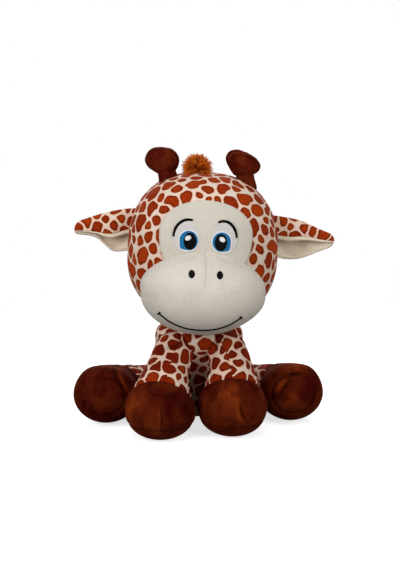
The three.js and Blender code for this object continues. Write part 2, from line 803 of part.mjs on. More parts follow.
const faceLift = patch.gap + patch.thickness + stitchGap; // where embroidery starts above the head's surface

function embroidery(part, centre, outline, overrun = 0) {
  const grid = { columns: thread.columns, rows: part.rows };
  const height = thread.thickness + 2 * overrun;
  return onHead(applique(head, centre, outline, faceLift - overrun, height, grid));
}

function eyePieces(side) {
  const s = sides[side];
  const sewn = (part, grow = 0, overrun = 0) => {
    const outline = oval({ ...part, tilt: -s * (part.tilt ?? 0) }, grow);
    return embroidery(part, [s * part.side, part.height], outline, overrun);
  };
  const hole = (part) => sewn(part, stitchGap, thread.thickness);
  const browPath = (t) => {
    const angle = THREE.MathUtils.lerp(brow.from, brow.to, t);
    const x = eyeWhite.side - brow.halfWidth * Math.cos(angle);
    return [s * x, eyeWhite.height + brow.halfHeight * Math.sin(angle)];
  };
  const fromLeft = (t) => (s < 0 ? t : 1 - t);
  const browStrip = (grow, lift, thickness) => {
    const path = (t) => browPath(fromLeft(t));
    const width = (t) => brow.halfThickness * along(browTaperShares, fromLeft(t)) + grow;
    return onHead(ribbon(head, path, width, lift, thickness, brow.steps));
  };
  const browHole = browStrip(stitchGap, faceLift - stitchGap, thread.thickness + 2 * stitchGap);
  const [irisHole, pupilHole, glintHole] = [iris, pupil, glint].map(hole);
  const white = sewn(eyeWhite).subtract(irisHole).subtract(pupilHole).subtract(browHole);
  return [
    piece(`eye_white_${side}`, white, colours.white),
    piece(`iris_${side}`, sewn(iris).subtract(pupilHole).subtract(glintHole), colours.blue),
    piece(`pupil_${side}`, sewn(pupil).subtract(glintHole), colours.black),
    piece(`glint_${side}`, sewn(glint), colours.white),
    piece(`brow_${side}`, browStrip(0, faceLift, thread.thickness), colours.black),
  ];
}

function nostrilPiece(side) {
  const centre = [sides[side] * nostril.side, nostril.height];
  const grid = { columns: thread.columns, rows: nostril.rows };
  const spot = applique(muzzle, centre, oval(nostril), stitchGap, thread.thickness, grid);
  return piece(`nostril_${side}`, onMuzzle(spot), colours.black);
}

function mouthPiece() {
  const line = (share) => {
    const x = mouth.side + mouth.halfSpan * share;
    return [x, mouth.endHeight - mouth.sagDepth * (1 - Math.abs(share) ** mouth.fullness)];
  };
  const path = (t) => line(2 * t - 1);
  const smile = ribbon(muzzle, path, () => mouth.halfThickness, stitchGap, thread.thickness, mouth.steps);
  const tick = (end) => {
    const [x, z] = line(end);
    const [bx, bz] = line(end * (1 - 1 / mouth.steps));
    const across = new THREE.Vector2(z - bz, bx - x).normalize().multiplyScalar(mouth.tickHalfLength * end);
    const bar = (t) => [x + across.x * (2 * t - 1), z + across.y * (2 * t - 1)];
    const width = () => mouth.tickHalfThickness;
    return ribbon(muzzle, bar, width, stitchGap, thread.thickness, mouth.tickSteps);
  };
  return piece("mouth", onMuzzle(smile.add(tick(1)).add(tick(-1))), colours.black);
}

function headPieces() {
  const both = Object.keys(sides);
  let skull = onHead(stuffed(head));
  skull = skull.subtract(socketAt(new THREE.Vector3(), neck));
  for (const side of both) {
    skull = skull.subtract(earGroove(side));
    skull = skull.subtract(socketAt(ossiconeFoot(side), ossiconeSeat));
  }
  const underHead = onHead(stuffed(head, seamGap));
  const pouch = onMuzzle(stuffed(muzzle)).subtract(underHead).subtract(patchSolid(seamGap));
  const hair = stuffed({ ...tuft, frontDepth: tuft.halfDepth, backDepth: tuft.halfDepth })
    .translate([tuft.side, 0, head.middleHeight + crownOver(tuft.side) + tuft.middleHeight])
    .subtract(underHead);
  return [
    piece("head", skull, colours.print),
    piece("face_patch", patchSolid(0), colours.cream),
    piece("muzzle", pouch, colours.cream),
    piece("hair_tuft", hair, colours.fur),
    mouthPiece(),
    ...both.flatMap((side) => [
      ...eyePieces(side),
      nostrilPiece(side),
      ...earPieces(side),
      ...ossiconePieces(side),
    ]),
  ];
}

// Assembly

const giraffe = new THREE.Group();
giraffe.position.y = -torso.seatBack; // the origin lies in the middle of the seat
const fore = { left: forelimb("left"), right: forelimb("right") };
const hind = { left: hindlimb("left"), right: hindlimb("right") };
giraffe.add(torsoPiece([...Object.values(fore), ...Object.values(hind)]));
for (const side of Object.keys(sides)) {
  giraffe.add(...limbPieces("fore", side, fore[side]), ...limbPieces("hind", side, hind[side]));
}
giraffe.add(...tailPieces());
giraffe.add(piece("neck_filling", ballAt(neckPivot, neck), colours.filling));

const headGroup = new THREE.Group();
headGroup.position.copy(neckPivot);
headGroup.rotation.set(0, head.roll, head.turn);
headGroup.add(...headPieces());
giraffe.add(headGroup);

export default giraffe;
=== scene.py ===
"""Looks for the seated plush giraffe: stuffed forms, printed spots, embroidery, long pile and studio.

Sizes are in millimetres where they end in _mm or stand in a class of sizes, and become metres
when a mesh is made. The toy faces -Y, and left and right are the giraffe's own.
"""

import logging
import math
from dataclasses import dataclass, field, replace
from enum import Enum
from typing import Callable, Sequence

import bmesh
import bpy
import numpy as np
from bpy.types import Material, Node, NodeSocket, NodeTree, Object
from mathutils import Matrix, Vector
from mathutils.bvhtree import BVHTree
from mathutils.kdtree import KDTree


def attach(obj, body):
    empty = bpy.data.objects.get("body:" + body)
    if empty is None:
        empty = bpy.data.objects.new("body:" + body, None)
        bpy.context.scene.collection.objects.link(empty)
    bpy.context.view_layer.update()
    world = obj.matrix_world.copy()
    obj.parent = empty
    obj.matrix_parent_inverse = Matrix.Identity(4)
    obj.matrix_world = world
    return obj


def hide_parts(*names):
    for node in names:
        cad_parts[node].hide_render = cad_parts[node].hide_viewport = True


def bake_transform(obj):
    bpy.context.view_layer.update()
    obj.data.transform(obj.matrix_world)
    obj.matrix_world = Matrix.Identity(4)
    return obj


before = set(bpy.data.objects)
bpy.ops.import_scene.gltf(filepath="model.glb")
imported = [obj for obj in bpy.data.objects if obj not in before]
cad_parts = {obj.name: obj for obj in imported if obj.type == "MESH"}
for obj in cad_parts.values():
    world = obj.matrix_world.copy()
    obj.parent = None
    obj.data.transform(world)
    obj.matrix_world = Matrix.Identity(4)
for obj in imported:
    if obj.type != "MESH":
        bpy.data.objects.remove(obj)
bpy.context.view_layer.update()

LOG = logging.getLogger("plush_giraffe")
MM = 0.001
Array = np.ndarray
Pair = tuple[Array, Array]
Outline = Callable[[Array], Pair]


class Slot(Enum):
    """The record's material slots that the covers use."""

    PRINT = "print_plush"
    CREAM = "cream_plush"
    BROWN = "brown_plush"
    FUR = "fur"
    WHITE = "white_thread"
    BLUE = "blue_thread"
    BLACK = "black_thread"


class Side(Enum):
    """A side of the giraffe, with its sign along X."""

    LEFT = 1
    RIGHT = -1

    @property
    def word(self) -> str:
        """The side's name in lower case."""
        return self.name.lower()


# Geometry helpers


def eased(shares: Sequence[float], t: Array) -> Array:
    """Reads a table of even steps with a smooth curve through its entries.

    Args:
        shares: The table's values.
        t: Places from 0 to 1.

    Returns:
        The value at each place.
    """
    values = np.asarray(shares, float)
    last = len(values) - 1
    place = np.clip(np.asarray(t, float), 0, 1) * last
    i = np.minimum(place.astype(int), last - 1)
    f = place - i
    p0, p1 = values[np.maximum(i - 1, 0)], values[i]
    p2, p3 = values[i + 1], values[np.minimum(i + 2, last)]
    m1, m2 = (p2 - p0) / 2, (p3 - p1) / 2
    return (
        p1 * (2 * f**3 - 3 * f**2 + 1)
        + p2 * (3 * f**2 - 2 * f**3)
        + m1 * (f**3 - 2 * f**2 + f)
        + m2 * (f**3 - f**2)
    )


def wander(points: Array, length: float, seed: int, waves: int = 7, full_height: float = 3.2) -> Array:
    """A smooth wavy field in space, made of a few sine waves in random directions.

    Args:
        points: N x 3 places in metres.
        length: The typical distance between a crest and the next, in metres.
        seed: The field's number.
        waves: How many waves are added.
        full_height: The height of the sum that counts as 1.

    Returns:
        N x 3 values from about -1 to 1.
    """
    rng = np.random.default_rng(seed)
    total = np.zeros_like(points)
    for _ in range(waves):
        direction = rng.normal(size=(3, 3))
        direction /= np.linalg.norm(direction, axis=1)[:, None]
        stretch = rng.uniform(0.7, 1.6, 3)
        phase = rng.uniform(0, 2 * math.pi, 3)
        total += np.sin(points @ (direction * stretch[:, None]).T * (2 * math.pi / length) + phase)
    return total / full_height


def smooth_step(low: float, high: float, x: Array) -> Array:
    """0 below low, 1 above high, and a soft rise between."""
    t = np.clip((x - low) / (high - low), 0, 1)
    return t * t * (3 - 2 * t)


def bump_at(x: Array, width: float) -> Array:
    """A soft hump of height 1 at x = 0."""
    return np.exp(-((x / width) ** 2))


def circle(count: int) -> Array:
    """Angles spread evenly round a full turn."""
    return np.linspace(0, 2 * math.pi, count, endpoint=False)


def ball_grid(cuts: int) -> tuple[Array, list[tuple[int, ...]]]:
    """Directions spread evenly over a ball, with the faces that join them.

    Args:
        cuts: Squares along each edge of the cube that the ball is made from.

    Returns:
        N x 3 unit directions and the faces.
    """
    bm = bmesh.new()
    bmesh.ops.create_cube(bm, size=2)
    bmesh.ops.subdivide_edges(bm, edges=bm.edges[:], cuts=cuts - 1, use_grid_fill=True)
    points = np.array([v.co for v in bm.verts])
    faces = [tuple(v.index for v in f.verts) for f in bm.faces]
    bm.free()
    points = np.tan(np.clip(points, -1, 1) * math.pi / 4)
    return points / np.linalg.norm(points, axis=1)[:, None], faces


def smoothed(mesh: bpy.types.Mesh) -> None:
    """Shades every face of a mesh smooth."""
    mesh.polygons.foreach_set("use_smooth", [True] * len(mesh.polygons))


def placed(name: str, data: bpy.types.ID) -> Object:
    """Makes an object of a mesh, lamp or camera and links it to the scene.

    Args:
        name: The object's name.
        data: What it shows.

    Returns:
        The new object.
    """
    obj = bpy.data.objects.new(name, data)
    bpy.context.scene.collection.objects.link(obj)
    return obj


def mesh_from(name: str, points: Array, faces: Sequence[tuple[int, ...]], weld: bool = False) -> Object:
    """Makes an object from points in metres, with its faces turned outwards.

    Args:
        name: The object's name.
        points: N x 3 places.
        faces: Corner numbers of each face.
        weld: True to merge points that lie on each other first.

    Returns:
        The new object, linked to the scene.
    """
    mesh = bpy.data.meshes.new(name)
    mesh.from_pydata([tuple(p) for p in points], [], [tuple(f) for f in faces])
    bm = bmesh.new()
    bm.from_mesh(mesh)
    if weld:
        bmesh.ops.remove_doubles(bm, verts=bm.verts[:], dist=1e-6)
        bmesh.ops.dissolve_degenerate(bm, edges=bm.edges[:], dist=1e-7)
    bmesh.ops.recalc_face_normals(bm, faces=bm.faces[:])
    bm.to_mesh(mesh)
    bm.free()
    smoothed(mesh)
    return placed(name, mesh)


def grid_faces(rows: int, columns: int, wrap: bool) -> list[tuple[int, ...]]:
    """Faces of a grid of points.

    Args:
        rows: The grid's rows.
        columns: The points of each row.
        wrap: True where each row closes round.

    Returns:
        The corner numbers of each face.
    """
    faces = []
    for r in range(rows - 1):
        for c in range(columns if wrap else columns - 1):
            n = (c + 1) % columns
            faces.append((r * columns + c, r * columns + n, (r + 1) * columns + n, (r + 1) * columns + c))
    return faces


def tube_mesh(name: str, rings: Array) -> Object:
    """A closed skin through rings of points, with a flat fan at each end.

    Args:
        name: The object's name.
        rings: R x C x 3 places in metres.

    Returns:
        The new object.
    """
    count, columns = rings.shape[:2]
    points = np.vstack([rings.reshape(-1, 3), rings[0].mean(0)[None], rings[-1].mean(0)[None]])
    faces = grid_faces(count, columns, True)
    first, last = count * columns, count * columns + 1
    top = (count - 1) * columns
    for c in range(columns):
        n = (c + 1) % columns
        faces.append((first, n, c))
        faces.append((last, top + c, top + n))
    return mesh_from(name, points, faces)


def slab_mesh(name: str, outer: Array, inner: Array, wrap: bool) -> Object:
    """A thin closed piece between two point grids of the same size.

    Args:
        name: The object's name.
        outer: R x C x 3 places of the outer face.
        inner: R x C x 3 places of the face under it.
        wrap: True where the columns close round.

    Returns:
        The new object.
    """
    rows, columns = outer.shape[:2]
    around = np.concatenate([outer, inner[::-1], outer[:1]], 0)
    faces = grid_faces(len(around), columns, wrap)
    if not wrap:
        for c in (0, columns - 1):
            for r in range(rows - 1):
                far = (2 * rows - 1 - r) * columns + c
                faces.append((r * columns + c, (r + 1) * columns + c, far - columns, far))
    return mesh_from(name, around.reshape(-1, 3), faces, weld=True)


def read_threes(items: bpy.types.bpy_prop_collection, name: str) -> Array:
    """Reads a property of three numbers from every item of a mesh's list.

    Args:
        items: The mesh's points or their directions.
        name: The property.

    Returns:
        N x 3 numbers.
    """
    flat = np.empty(len(items) * 3)
    items.foreach_get(name, flat)
    return flat.reshape(-1, 3)


def points_of(obj: Object) -> Array:
    """The object's points as N x 3 metres."""
    return read_threes(obj.data.vertices, "co")


def normals_of(obj: Object) -> Array:
    """The outward direction at each of the object's points."""
    return read_threes(obj.data.vertex_normals, "vector")


def set_points(obj: Object, points: Array) -> None:
    """Puts the object's points at new places."""
    obj.data.vertices.foreach_set("co", np.ascontiguousarray(points, dtype=np.float32).ravel())
    obj.data.update()


def swell(obj: Object, amount: Array) -> None:
    """Moves the object's points along their outward directions by amount, in metres."""
    set_points(obj, points_of(obj) + normals_of(obj) * np.asarray(amount).reshape(-1, 1))


def add_values(obj: Object, name: str, values: Array) -> None:
    """Stores a number at each point of the object, for its material to read."""
    layer = obj.data.attributes.get(name) or obj.data.attributes.new(name, "FLOAT", "POINT")
    layer.data.foreach_set("value", np.asarray(values, np.float32))


def applied(obj: Object) -> Object:
    """Turns the object's modifiers into plain mesh.

    Args:
        obj: The object.

    Returns:
        The same object.
    """
    graph = bpy.context.evaluated_depsgraph_get()
    mesh = bpy.data.meshes.new_from_object(obj.evaluated_get(graph), depsgraph=graph)
    obj.modifiers.clear()
    old = obj.data
    obj.data = mesh
    bpy.data.meshes.remove(old)
    mesh.name = obj.name
    return obj


def subdivided(obj: Object, levels: int) -> Object:
    """Rounds the object's mesh with a subdivision surface and applies it.

    Args:
        obj: The object.
        levels: How often each face is cut in four.

    Returns:
        The same object.
    """
    modifier = obj.modifiers.new("round", "SUBSURF")
    modifier.levels = modifier.render_levels = levels
    return applied(obj)


def joined(obj: Object, others: Sequence[Object]) -> Object:
    """Adds other meshes to an object's own, and removes the objects that they came from.

    Args:
        obj: The object that stays.
        others: The objects whose meshes it takes.

    Returns:
        The object that stays.
    """
    whole = bmesh.new()
    for part in (obj, *others):
        whole.from_mesh(part.data)
    whole.to_mesh(obj.data)
    whole.free()
    for other in others:
        bpy.data.objects.remove(other)
    smoothed(obj.data)
    return obj


@dataclass(frozen=True)
class Stuffing:
    """How firmly a piece is filled, for its cloth simulation."""

    cap_mm: float = 3.0
    pressure: float = 4.0
    spare_share: float = 0.02
    bending: float = 0.3
    mass: float = 0.2
    quality: int = 5
    frames: int = 20

    def fill(self, obj: Object, held: Array) -> None:
        """Blows the piece up as cloth, with its seams held.

        Args:
            obj: The piece, whose mesh has faces of about 4 to 6 mm.
            held: True for each point at a seam.
        """
        rest = points_of(obj)
        group = obj.vertex_groups.new(name="seams")
        group.add(np.flatnonzero(held).tolist(), 1.0, "REPLACE")
        cloth = obj.modifiers.new("stuffing", "CLOTH")
        settings = cloth.settings
        settings.quality = self.quality
        settings.mass = self.mass
        settings.use_pressure = True
        settings.uniform_pressure_force = self.pressure
        settings.shrink_min = -self.spare_share
        settings.bending_stiffness = self.bending
        settings.effector_weights.gravity = 0
        settings.vertex_group_mass = group.name
        cloth.point_cache.frame_start = 1
        cloth.point_cache.frame_end = self.frames
        scene = bpy.context.scene
        for number in range(1, self.frames + 1):
            scene.frame_set(number)
        graph = bpy.context.evaluated_depsgraph_get()
        moved = read_threes(obj.evaluated_get(graph).data.vertices, "co") - rest
        length = np.linalg.norm(moved, axis=1)
        cap = self.cap_mm * MM
        keep = cap * np.tanh(length / cap) / np.maximum(length, 1e-9)
        obj.modifiers.remove(cloth)
        obj.vertex_groups.clear()
        scene.frame_set(1)
        set_points(obj, rest + moved * keep[:, None])


def stuffed_tube(
    name: str, rings: Array, held_rows: tuple[int, int], cap_mm: float, side_seams: bool = False
) -> Object:
    """A tube that is filled between its seams and then rounded.

    Args:
        name: The object's name.
        rings: R x C x 3 places in metres.
        held_rows: How many rings are held at the first end and at the last.
        cap_mm: How far the filling may move a point.
        side_seams: True where a seam along each side is held too.

    Returns:
        The new object.
    """
    obj = tube_mesh(name, rings)
    rows, columns = rings.shape[:2]
    numbers = np.arange(len(obj.data.vertices))
    row = np.minimum(numbers // columns, rows - 1)
    column = numbers % columns
    held = (row < held_rows[0]) | (row >= rows - held_rows[1])
    if side_seams:
        held |= (column == 0) | (column == columns // 2)
    Stuffing(cap_mm).fill(obj, held)
    return subdivided(obj, 2)


# Stuffed forms


@dataclass(frozen=True)
class Form:
    """A full form: a ball drawn out to its half sizes and squared off a little, in millimetres."""

    half_width: float
    front: float
    back: float
    upper: float
    lower: float
    fullness: float
    narrow_left: float = 0.0
    narrow_right: float = 0.0

    def grown(self, grow: float) -> "Form":
        """The same form, larger all round."""
        sizes = ("half_width", "front", "back", "upper", "lower")
        return replace(self, **{name: getattr(self, name) + grow for name in sizes})

    def left_at(self, share: Array | float) -> Array | float:
        """How much of one half size is left at a share of another."""
        return (1 - share**self.fullness) ** (1 / self.fullness)

    def kept(self, x: Array, z: Array) -> Array:
        """How much of its width the form keeps at a height, on each side."""
        narrow = np.where(x > 0, self.narrow_left, self.narrow_right)
        return 1 - narrow * np.clip(-z / self.lower, 0, 1) ** 2

    def level(self, points: Array) -> Array:
        """Tells where points lie.

        Args:
            points: N x 3 places from the form's middle.

        Returns:
            A value for each, below 1 inside the form and above 1 outside.
        """
        x, y, z = points.T
        x = x / self.kept(x, z)
        depth = np.where(y < 0, self.front, self.back)
        height = np.where(z < 0, self.lower, self.upper)
        n = self.fullness
        total = np.abs(x / self.half_width) ** n + np.abs(y / depth) ** n + np.abs(z / height) ** n
        return total ** (1 / n)

    def surface(self, directions: Array) -> Array:
        """Finds the form's points.

        Args:
            directions: N x 3 directions from its middle.

        Returns:
            One point along each.
        """
        plain = replace(self, narrow_left=0.0, narrow_right=0.0)
        points = directions / plain.level(directions)[:, None]
        points[:, 0] *= self.kept(points[:, 0], points[:, 2])
        return points

    def front_at(self, x: Array, z: Array) -> Pair:
        """Finds points of the front face.

        Args:
            x: Places to the giraffe's left.
            z: Places above the form's middle.

        Returns:
            The points and the outward directions there.
        """
        n = self.fullness
        width = self.half_width * self.kept(x, z)
        height = np.where(z < 0, self.lower, self.upper)
        rest = 1 - np.abs(x / width) ** n - np.abs(z / height) ** n
        y = -self.front * np.maximum(rest, 1e-6) ** (1 / n)

        def slope(v: Array, size: Array) -> Array:
            """How fast the form falls away along one axis."""
            return np.sign(v) * np.abs(v / size) ** (n - 1) / size

        normal = np.stack([slope(x, width), slope(y, self.front), slope(z, height)], -1)
        normal /= np.linalg.norm(normal, axis=-1)[..., None]
        return np.stack([x, y, z], -1), normal


@dataclass(frozen=True)
class Place:
    """A piece's own frame, with sizes in millimetres, set in the toy's frame in metres."""

    matrix: Matrix

    def out(self, points: Array) -> Array:
        """Own millimetres to the toy's metres."""
        m = np.array(self.matrix)
        return (points.reshape(-1, 3) * MM @ m[:3, :3].T + m[:3, 3]).reshape(points.shape)

    def into(self, points: Array) -> Array:
        """The toy's metres to own millimetres."""
        m = np.array(self.matrix)
        return (points - m[:3, 3]) @ m[:3, :3] / MM


SEAT_BACK_MM = 42.0
NECK_HEIGHT_MM = 160.0
NECK_PIVOT_MM = np.array([0.0, -SEAT_BACK_MM, NECK_HEIGHT_MM])
HEAD_TILT_DEG = 3
HEAD_TURN_DEG = 2
HEAD_PLACE = Place(
    Matrix.Translation(Vector(NECK_PIVOT_MM * MM))
    @ Matrix.Rotation(math.radians(HEAD_TILT_DEG), 4, "Y")
    @ Matrix.Rotation(math.radians(HEAD_TURN_DEG), 4, "Z")
)
BODY_PLACE = Place(Matrix.Translation((0, -SEAT_BACK_MM * MM, 0)))
HEAD_FORM = Form(108, 98, 93, 114, 98, 2.4)
HEAD_RISE = np.array([0.0, 0.0, 90.0])
MUZZLE_FORM = Form(86, 58, 40, 58, 55, 2.1, 0.26, 0.04)
MUZZLE_RISE = np.array([0.0, -92.0, 47.0])


# Printed spots


@dataclass(frozen=True)
class SpotPrint:
    """The giraffe print: rounded, uneven spots with pale lines between them."""

    spacing_mm: float = 19.0
    line_mm: float = 2.75
    softness_mm: float = 3.0
    waver_mm: float = 2.2
    bite_mm: float = 2.4
    bite_share: float = 0.6
    merge_share: float = 0.03
    shades: tuple[float, float] = (-0.15, 1.0)
    sizes: tuple[float, ...] = (0.7, 0.84, 0.96, 1.08)
    large_share: float = 0.9
    longest_pull: float = 0.5
    tries: int = 9000
    seed: int = 7

    def seeds(self, points: Array, rng: np.random.Generator) -> Array:
        """Picks spot middles on a panel, spread apart unevenly.

        Args:
            points: N x 3 places of the panel.
            rng: The panel's random draws.

        Returns:
            The place of each middle, with the room that its spot takes.
        """
        order = rng.permutation(len(points))[: self.tries]
        picked: list[Array] = []
        room: list[float] = []
        for i in order:
            reach = self.spacing_mm * MM * rng.choice(self.sizes)
            if picked:
                gap = np.linalg.norm(np.array(picked) - points[i], axis=1)
                if (gap < (np.array(room) + reach) / 2).any():
                    continue
            picked.append(points[i])
            room.append(reach)
        return np.column_stack([np.array(picked), np.array(room)])

    def lay(self, obj: Object, panels: Array | None = None) -> None:
        """Stores how far inside a spot each point lies, and each spot's own shade.

        Args:
            obj: The printed piece.
            panels: The panel number of each point, where the piece has more than one panel.
                The print starts anew on each.
        """
        points = points_of(obj)
        inside = np.zeros(len(points))
        shade = np.zeros(len(points))
        if panels is None:
            panels = np.zeros(len(points), int)
        for panel in np.unique(panels):
            members = np.flatnonzero(panels == panel)
            rng = np.random.default_rng(self.seed * 131 + int(panel))
            inside[members], shade[members] = self.printed(points[members], rng)
        add_values(obj, "spot_inside", inside / MM)
        add_values(obj, "spot_shade", shade)

    def printed(self, own: Array, rng: np.random.Generator) -> Pair:
        """Prints one panel.

        Args:
            own: N x 3 places of the panel.
            rng: The panel's random draws.

        Returns:
            How far inside a spot each point lies, in metres, and the shade of its spot.
        """
        middles = self.seeds(own, rng)
        warped = own + wander(own, 0.034, self.seed + 5) * self.waver_mm * MM
        warped += wander(own, 0.012, self.seed + 6) * self.waver_mm * 0.28 * MM
        axes = rng.normal(size=(2, len(middles), 3))
        axes /= np.linalg.norm(axes, axis=2)[..., None]
        pull = rng.uniform(0, self.longest_pull, len(middles))
        to_seed = warped[:, None, :] - middles[None, :, :3]
        along = np.einsum("nsk,sk->ns", to_seed, axes[0])
        reach = np.sqrt(np.maximum((to_seed**2).sum(-1) - pull * along**2, 0))
        reach -= (middles[:, 3] - middles[:, 3].mean()) * 0.5
        group = np.arange(len(middles))
        for i in np.flatnonzero(rng.random(len(middles)) < self.merge_share):
            near = np.argsort(np.linalg.norm(middles[:, :3] - middles[i, :3], axis=1))
            group[i] = group[near[1]]
        first = np.argmin(reach, axis=1)
        owner = group[first]
        mine = group[None, :] == owner[:, None]
        soft = self.softness_mm * MM
        nearest = np.where(mine, reach, 1e3).min(1)
        others = np.where(mine, 1e3, reach)
        low = others.min(1)
        other = low - soft * np.log(np.exp(-(others - low[:, None]) / soft).sum(1))
        away = to_seed[np.arange(len(own)), first]
        turn = (away * axes[1][first]).sum(1) / np.maximum(np.linalg.norm(away, axis=1), 1e-6)
        large = middles[:, 3] > self.large_share * self.spacing_mm * MM
        bitten = large & (rng.random(len(middles)) < self.bite_share)
        bite = np.where(bitten, self.bite_mm * MM, 0)[first] * smooth_step(0.5, 1.0, turn)
        pale, rich = self.shades
        shade = pale + (rich - pale) * rng.random(len(middles))[owner]
        return (other - nearest) / 2 - self.line_mm * MM / 2 - bite, shade


SMALL_PRINT = SpotPrint(spacing_mm=18.5, line_mm=2.4, softness_mm=2.4, bite_mm=0, merge_share=0)


# Materials


class Canvas:
    """A small helper that lays out one node tree."""

    def __init__(self, tree: NodeTree) -> None:
        """Starts on an empty tree."""
        self.tree = tree
        tree.nodes.clear()

    def feed(self, node: Node, values: dict[str | int, object]) -> Node:
        """Sets a node's inputs to values, or links them where a value is a socket.

        Args:
            node: The node.
            values: The value or socket for each named or numbered input.

        Returns:
            The node.
        """
        for key, value in values.items():
            if isinstance(value, NodeSocket):
                self.tree.links.new(value, node.inputs[key])
            else:
                node.inputs[key].default_value = value
        return node

    def node(self, kind: str, values: dict[str | int, object] | None = None, **settings: object) -> Node:
        """Adds a node, sets its properties and feeds its inputs.

        Args:
            kind: The node's type.
            values: The value or socket for each named or numbered input.
            **settings: The node's own properties.

        Returns:
            The node.
        """
        made = self.tree.nodes.new(kind)
        for name, value in settings.items():
            setattr(made, name, value)
        return self.feed(made, values or {})

    def math(self, operation: str, *values: object, clamp: bool = False) -> NodeSocket:
        """A Math node's result."""
        feeds = dict(enumerate(values))
        return self.node("ShaderNodeMath", feeds, operation=operation, use_clamp=clamp).outputs[0]

    def vector(self, operation: str, *values: object) -> NodeSocket:
        """A Vector Math node's first result."""
        return self.node("ShaderNodeVectorMath", dict(enumerate(values)), operation=operation).outputs[0]

    def noise(self, vector: object, scale: object, detail: float, distortion: object = 0.0) -> NodeSocket:
        """A noise texture's value."""
        feeds = {"Vector": vector, "Scale": scale, "Detail": detail, "Distortion": distortion}
        return self.node("ShaderNodeTexNoise", feeds).outputs["Fac"]

    def spread(self, value: object, low: float, high: float, to: tuple[float, float] = (0, 1)) -> NodeSocket:
        """Maps a range to another, held at its ends."""
        return self.node("ShaderNodeMapRange", dict(enumerate((value, low, high, *to)))).outputs[0]

    def mix(self, share: object, first: object, second: object, blend: str = "MIX") -> NodeSocket:
        """A mix of two colours."""
        feeds = {0: share, 6: first, 7: second}
        return self.node("ShaderNodeMix", feeds, data_type="RGBA", blend_type=blend).outputs[2]

    def stored(self, name: str) -> NodeSocket:
        """A number that a piece stores at its points."""
        return self.node("ShaderNodeAttribute", attribute_name=name).outputs["Fac"]

    def drawn(self, low: object, high: object, seed: object = 0) -> NodeSocket:
        """A random number for each item, or a vector where low is one.

        Args:
            low: The lowest value.
            high: The highest value.
            seed: The draw's number.

        Returns:
            The value's socket.
        """
        vector = isinstance(low, tuple)
        kind, first = ("FLOAT_VECTOR", 0) if vector else ("FLOAT", 2)
        made = self.node("FunctionNodeRandomValue", data_type=kind)
        self.feed(made, {first: low, first + 1: high, "Seed": seed})
        return made.outputs[0 if vector else 1]


def group_tree(
    name: str,
    inputs: Sequence[tuple[str, str, object]],
    outputs: Sequence[tuple[str, str]],
    kind: str = "ShaderNodeTree",
) -> tuple[Canvas, Node, Node]:
    """Starts a node group with named sockets.

    Args:
        name: The group's name.
        inputs: Name, socket type and first value of each input.
        outputs: Name and socket type of each output.
        kind: The type of tree.

    Returns:
        The canvas of its tree, and its input and output nodes.
    """
    tree = bpy.data.node_groups.new(name, kind)
    for label, socket, value in inputs:
        made = tree.interface.new_socket(label, in_out="INPUT", socket_type=socket)
        if value is not None:
            made.default_value = value
    for label, socket in outputs:
        tree.interface.new_socket(label, in_out="OUTPUT", socket_type=socket)
    canvas = Canvas(tree)
    return canvas, canvas.node("NodeGroupInput"), canvas.node("NodeGroupOutput")


def nap_group() -> NodeTree:
    """Short pile: fine fibres, small clumps, and larger places where the pile was brushed another way.

    Returns:
        The shader group's tree.
    """
    canvas, start, end = group_tree(
        "short_pile",
        [
            ("Vector", "NodeSocketVector", (0, 0, 0)),
            ("Fibre Scale", "NodeSocketFloat", 1100.0),
            ("Clump Scale", "NodeSocketFloat", 260.0),
            ("Brush Scale", "NodeSocketFloat", 28.0),
            ("Swirl", "NodeSocketFloat", 0.3),
        ],
        [(label, "NodeSocketFloat") for label in ("Fibre", "Clump", "Brush", "Streak", "Height")],
    )
    place = start.outputs["Vector"]
    fibre = canvas.noise(place, start.outputs["Fibre Scale"], 1.0)
    clump = canvas.noise(place, start.outputs["Clump Scale"], 3.0)
    brush = canvas.noise(place, start.outputs["Brush Scale"], 4.0, start.outputs["Swirl"])
    height = canvas.math("ADD", canvas.math("MULTIPLY", fibre, 0.55), canvas.math("MULTIPLY", clump, 0.45))
    stretched = canvas.node("ShaderNodeMapping", {"Vector": place, "Scale": (1, 1, 0.3)}).outputs[0]
    feeds = {
        "Fibre": fibre,
        "Clump": canvas.spread(clump, 0.3, 0.7),
        "Brush": canvas.spread(brush, 0.36, 0.66),
        "Streak": canvas.spread(canvas.noise(stretched, 150.0, 3.0), 0.3, 0.62, (0.25, 1.0)),
        "Height": height,
    }
    canvas.feed(end, feeds)
    return canvas.tree


def spot_group() -> NodeTree:
    """The print: how much a place belongs to a spot, to its fringe and to its darker rim.

    Returns:
        The shader group's tree.
    """
    canvas, start, end = group_tree(
        "spot_print",
        [
            ("Vector", "NodeSocketVector", (0, 0, 0)),
            ("Inside", "NodeSocketFloat", 0.0),
            ("Ragged", "NodeSocketFloat", 0.7),
        ],
        [("Spot", "NodeSocketFloat"), ("Fringe", "NodeSocketFloat"), ("Rim", "NodeSocketFloat")],
    )
    ragged = canvas.math("SUBTRACT", canvas.noise(start.outputs["Vector"], 420.0, 2.0), 0.5)
    shift = canvas.math("MULTIPLY", ragged, start.outputs["Ragged"])
    place = canvas.math("ADD", start.outputs["Inside"], shift)
    bounds_mm = {"Spot": (-0.3, 0.2), "Fringe": (-1.9, -0.4), "Rim": (1.9, 0.4)}
    canvas.feed(end, {label: canvas.spread(place, *bounds) for label, bounds in bounds_mm.items()})
    return canvas.tree


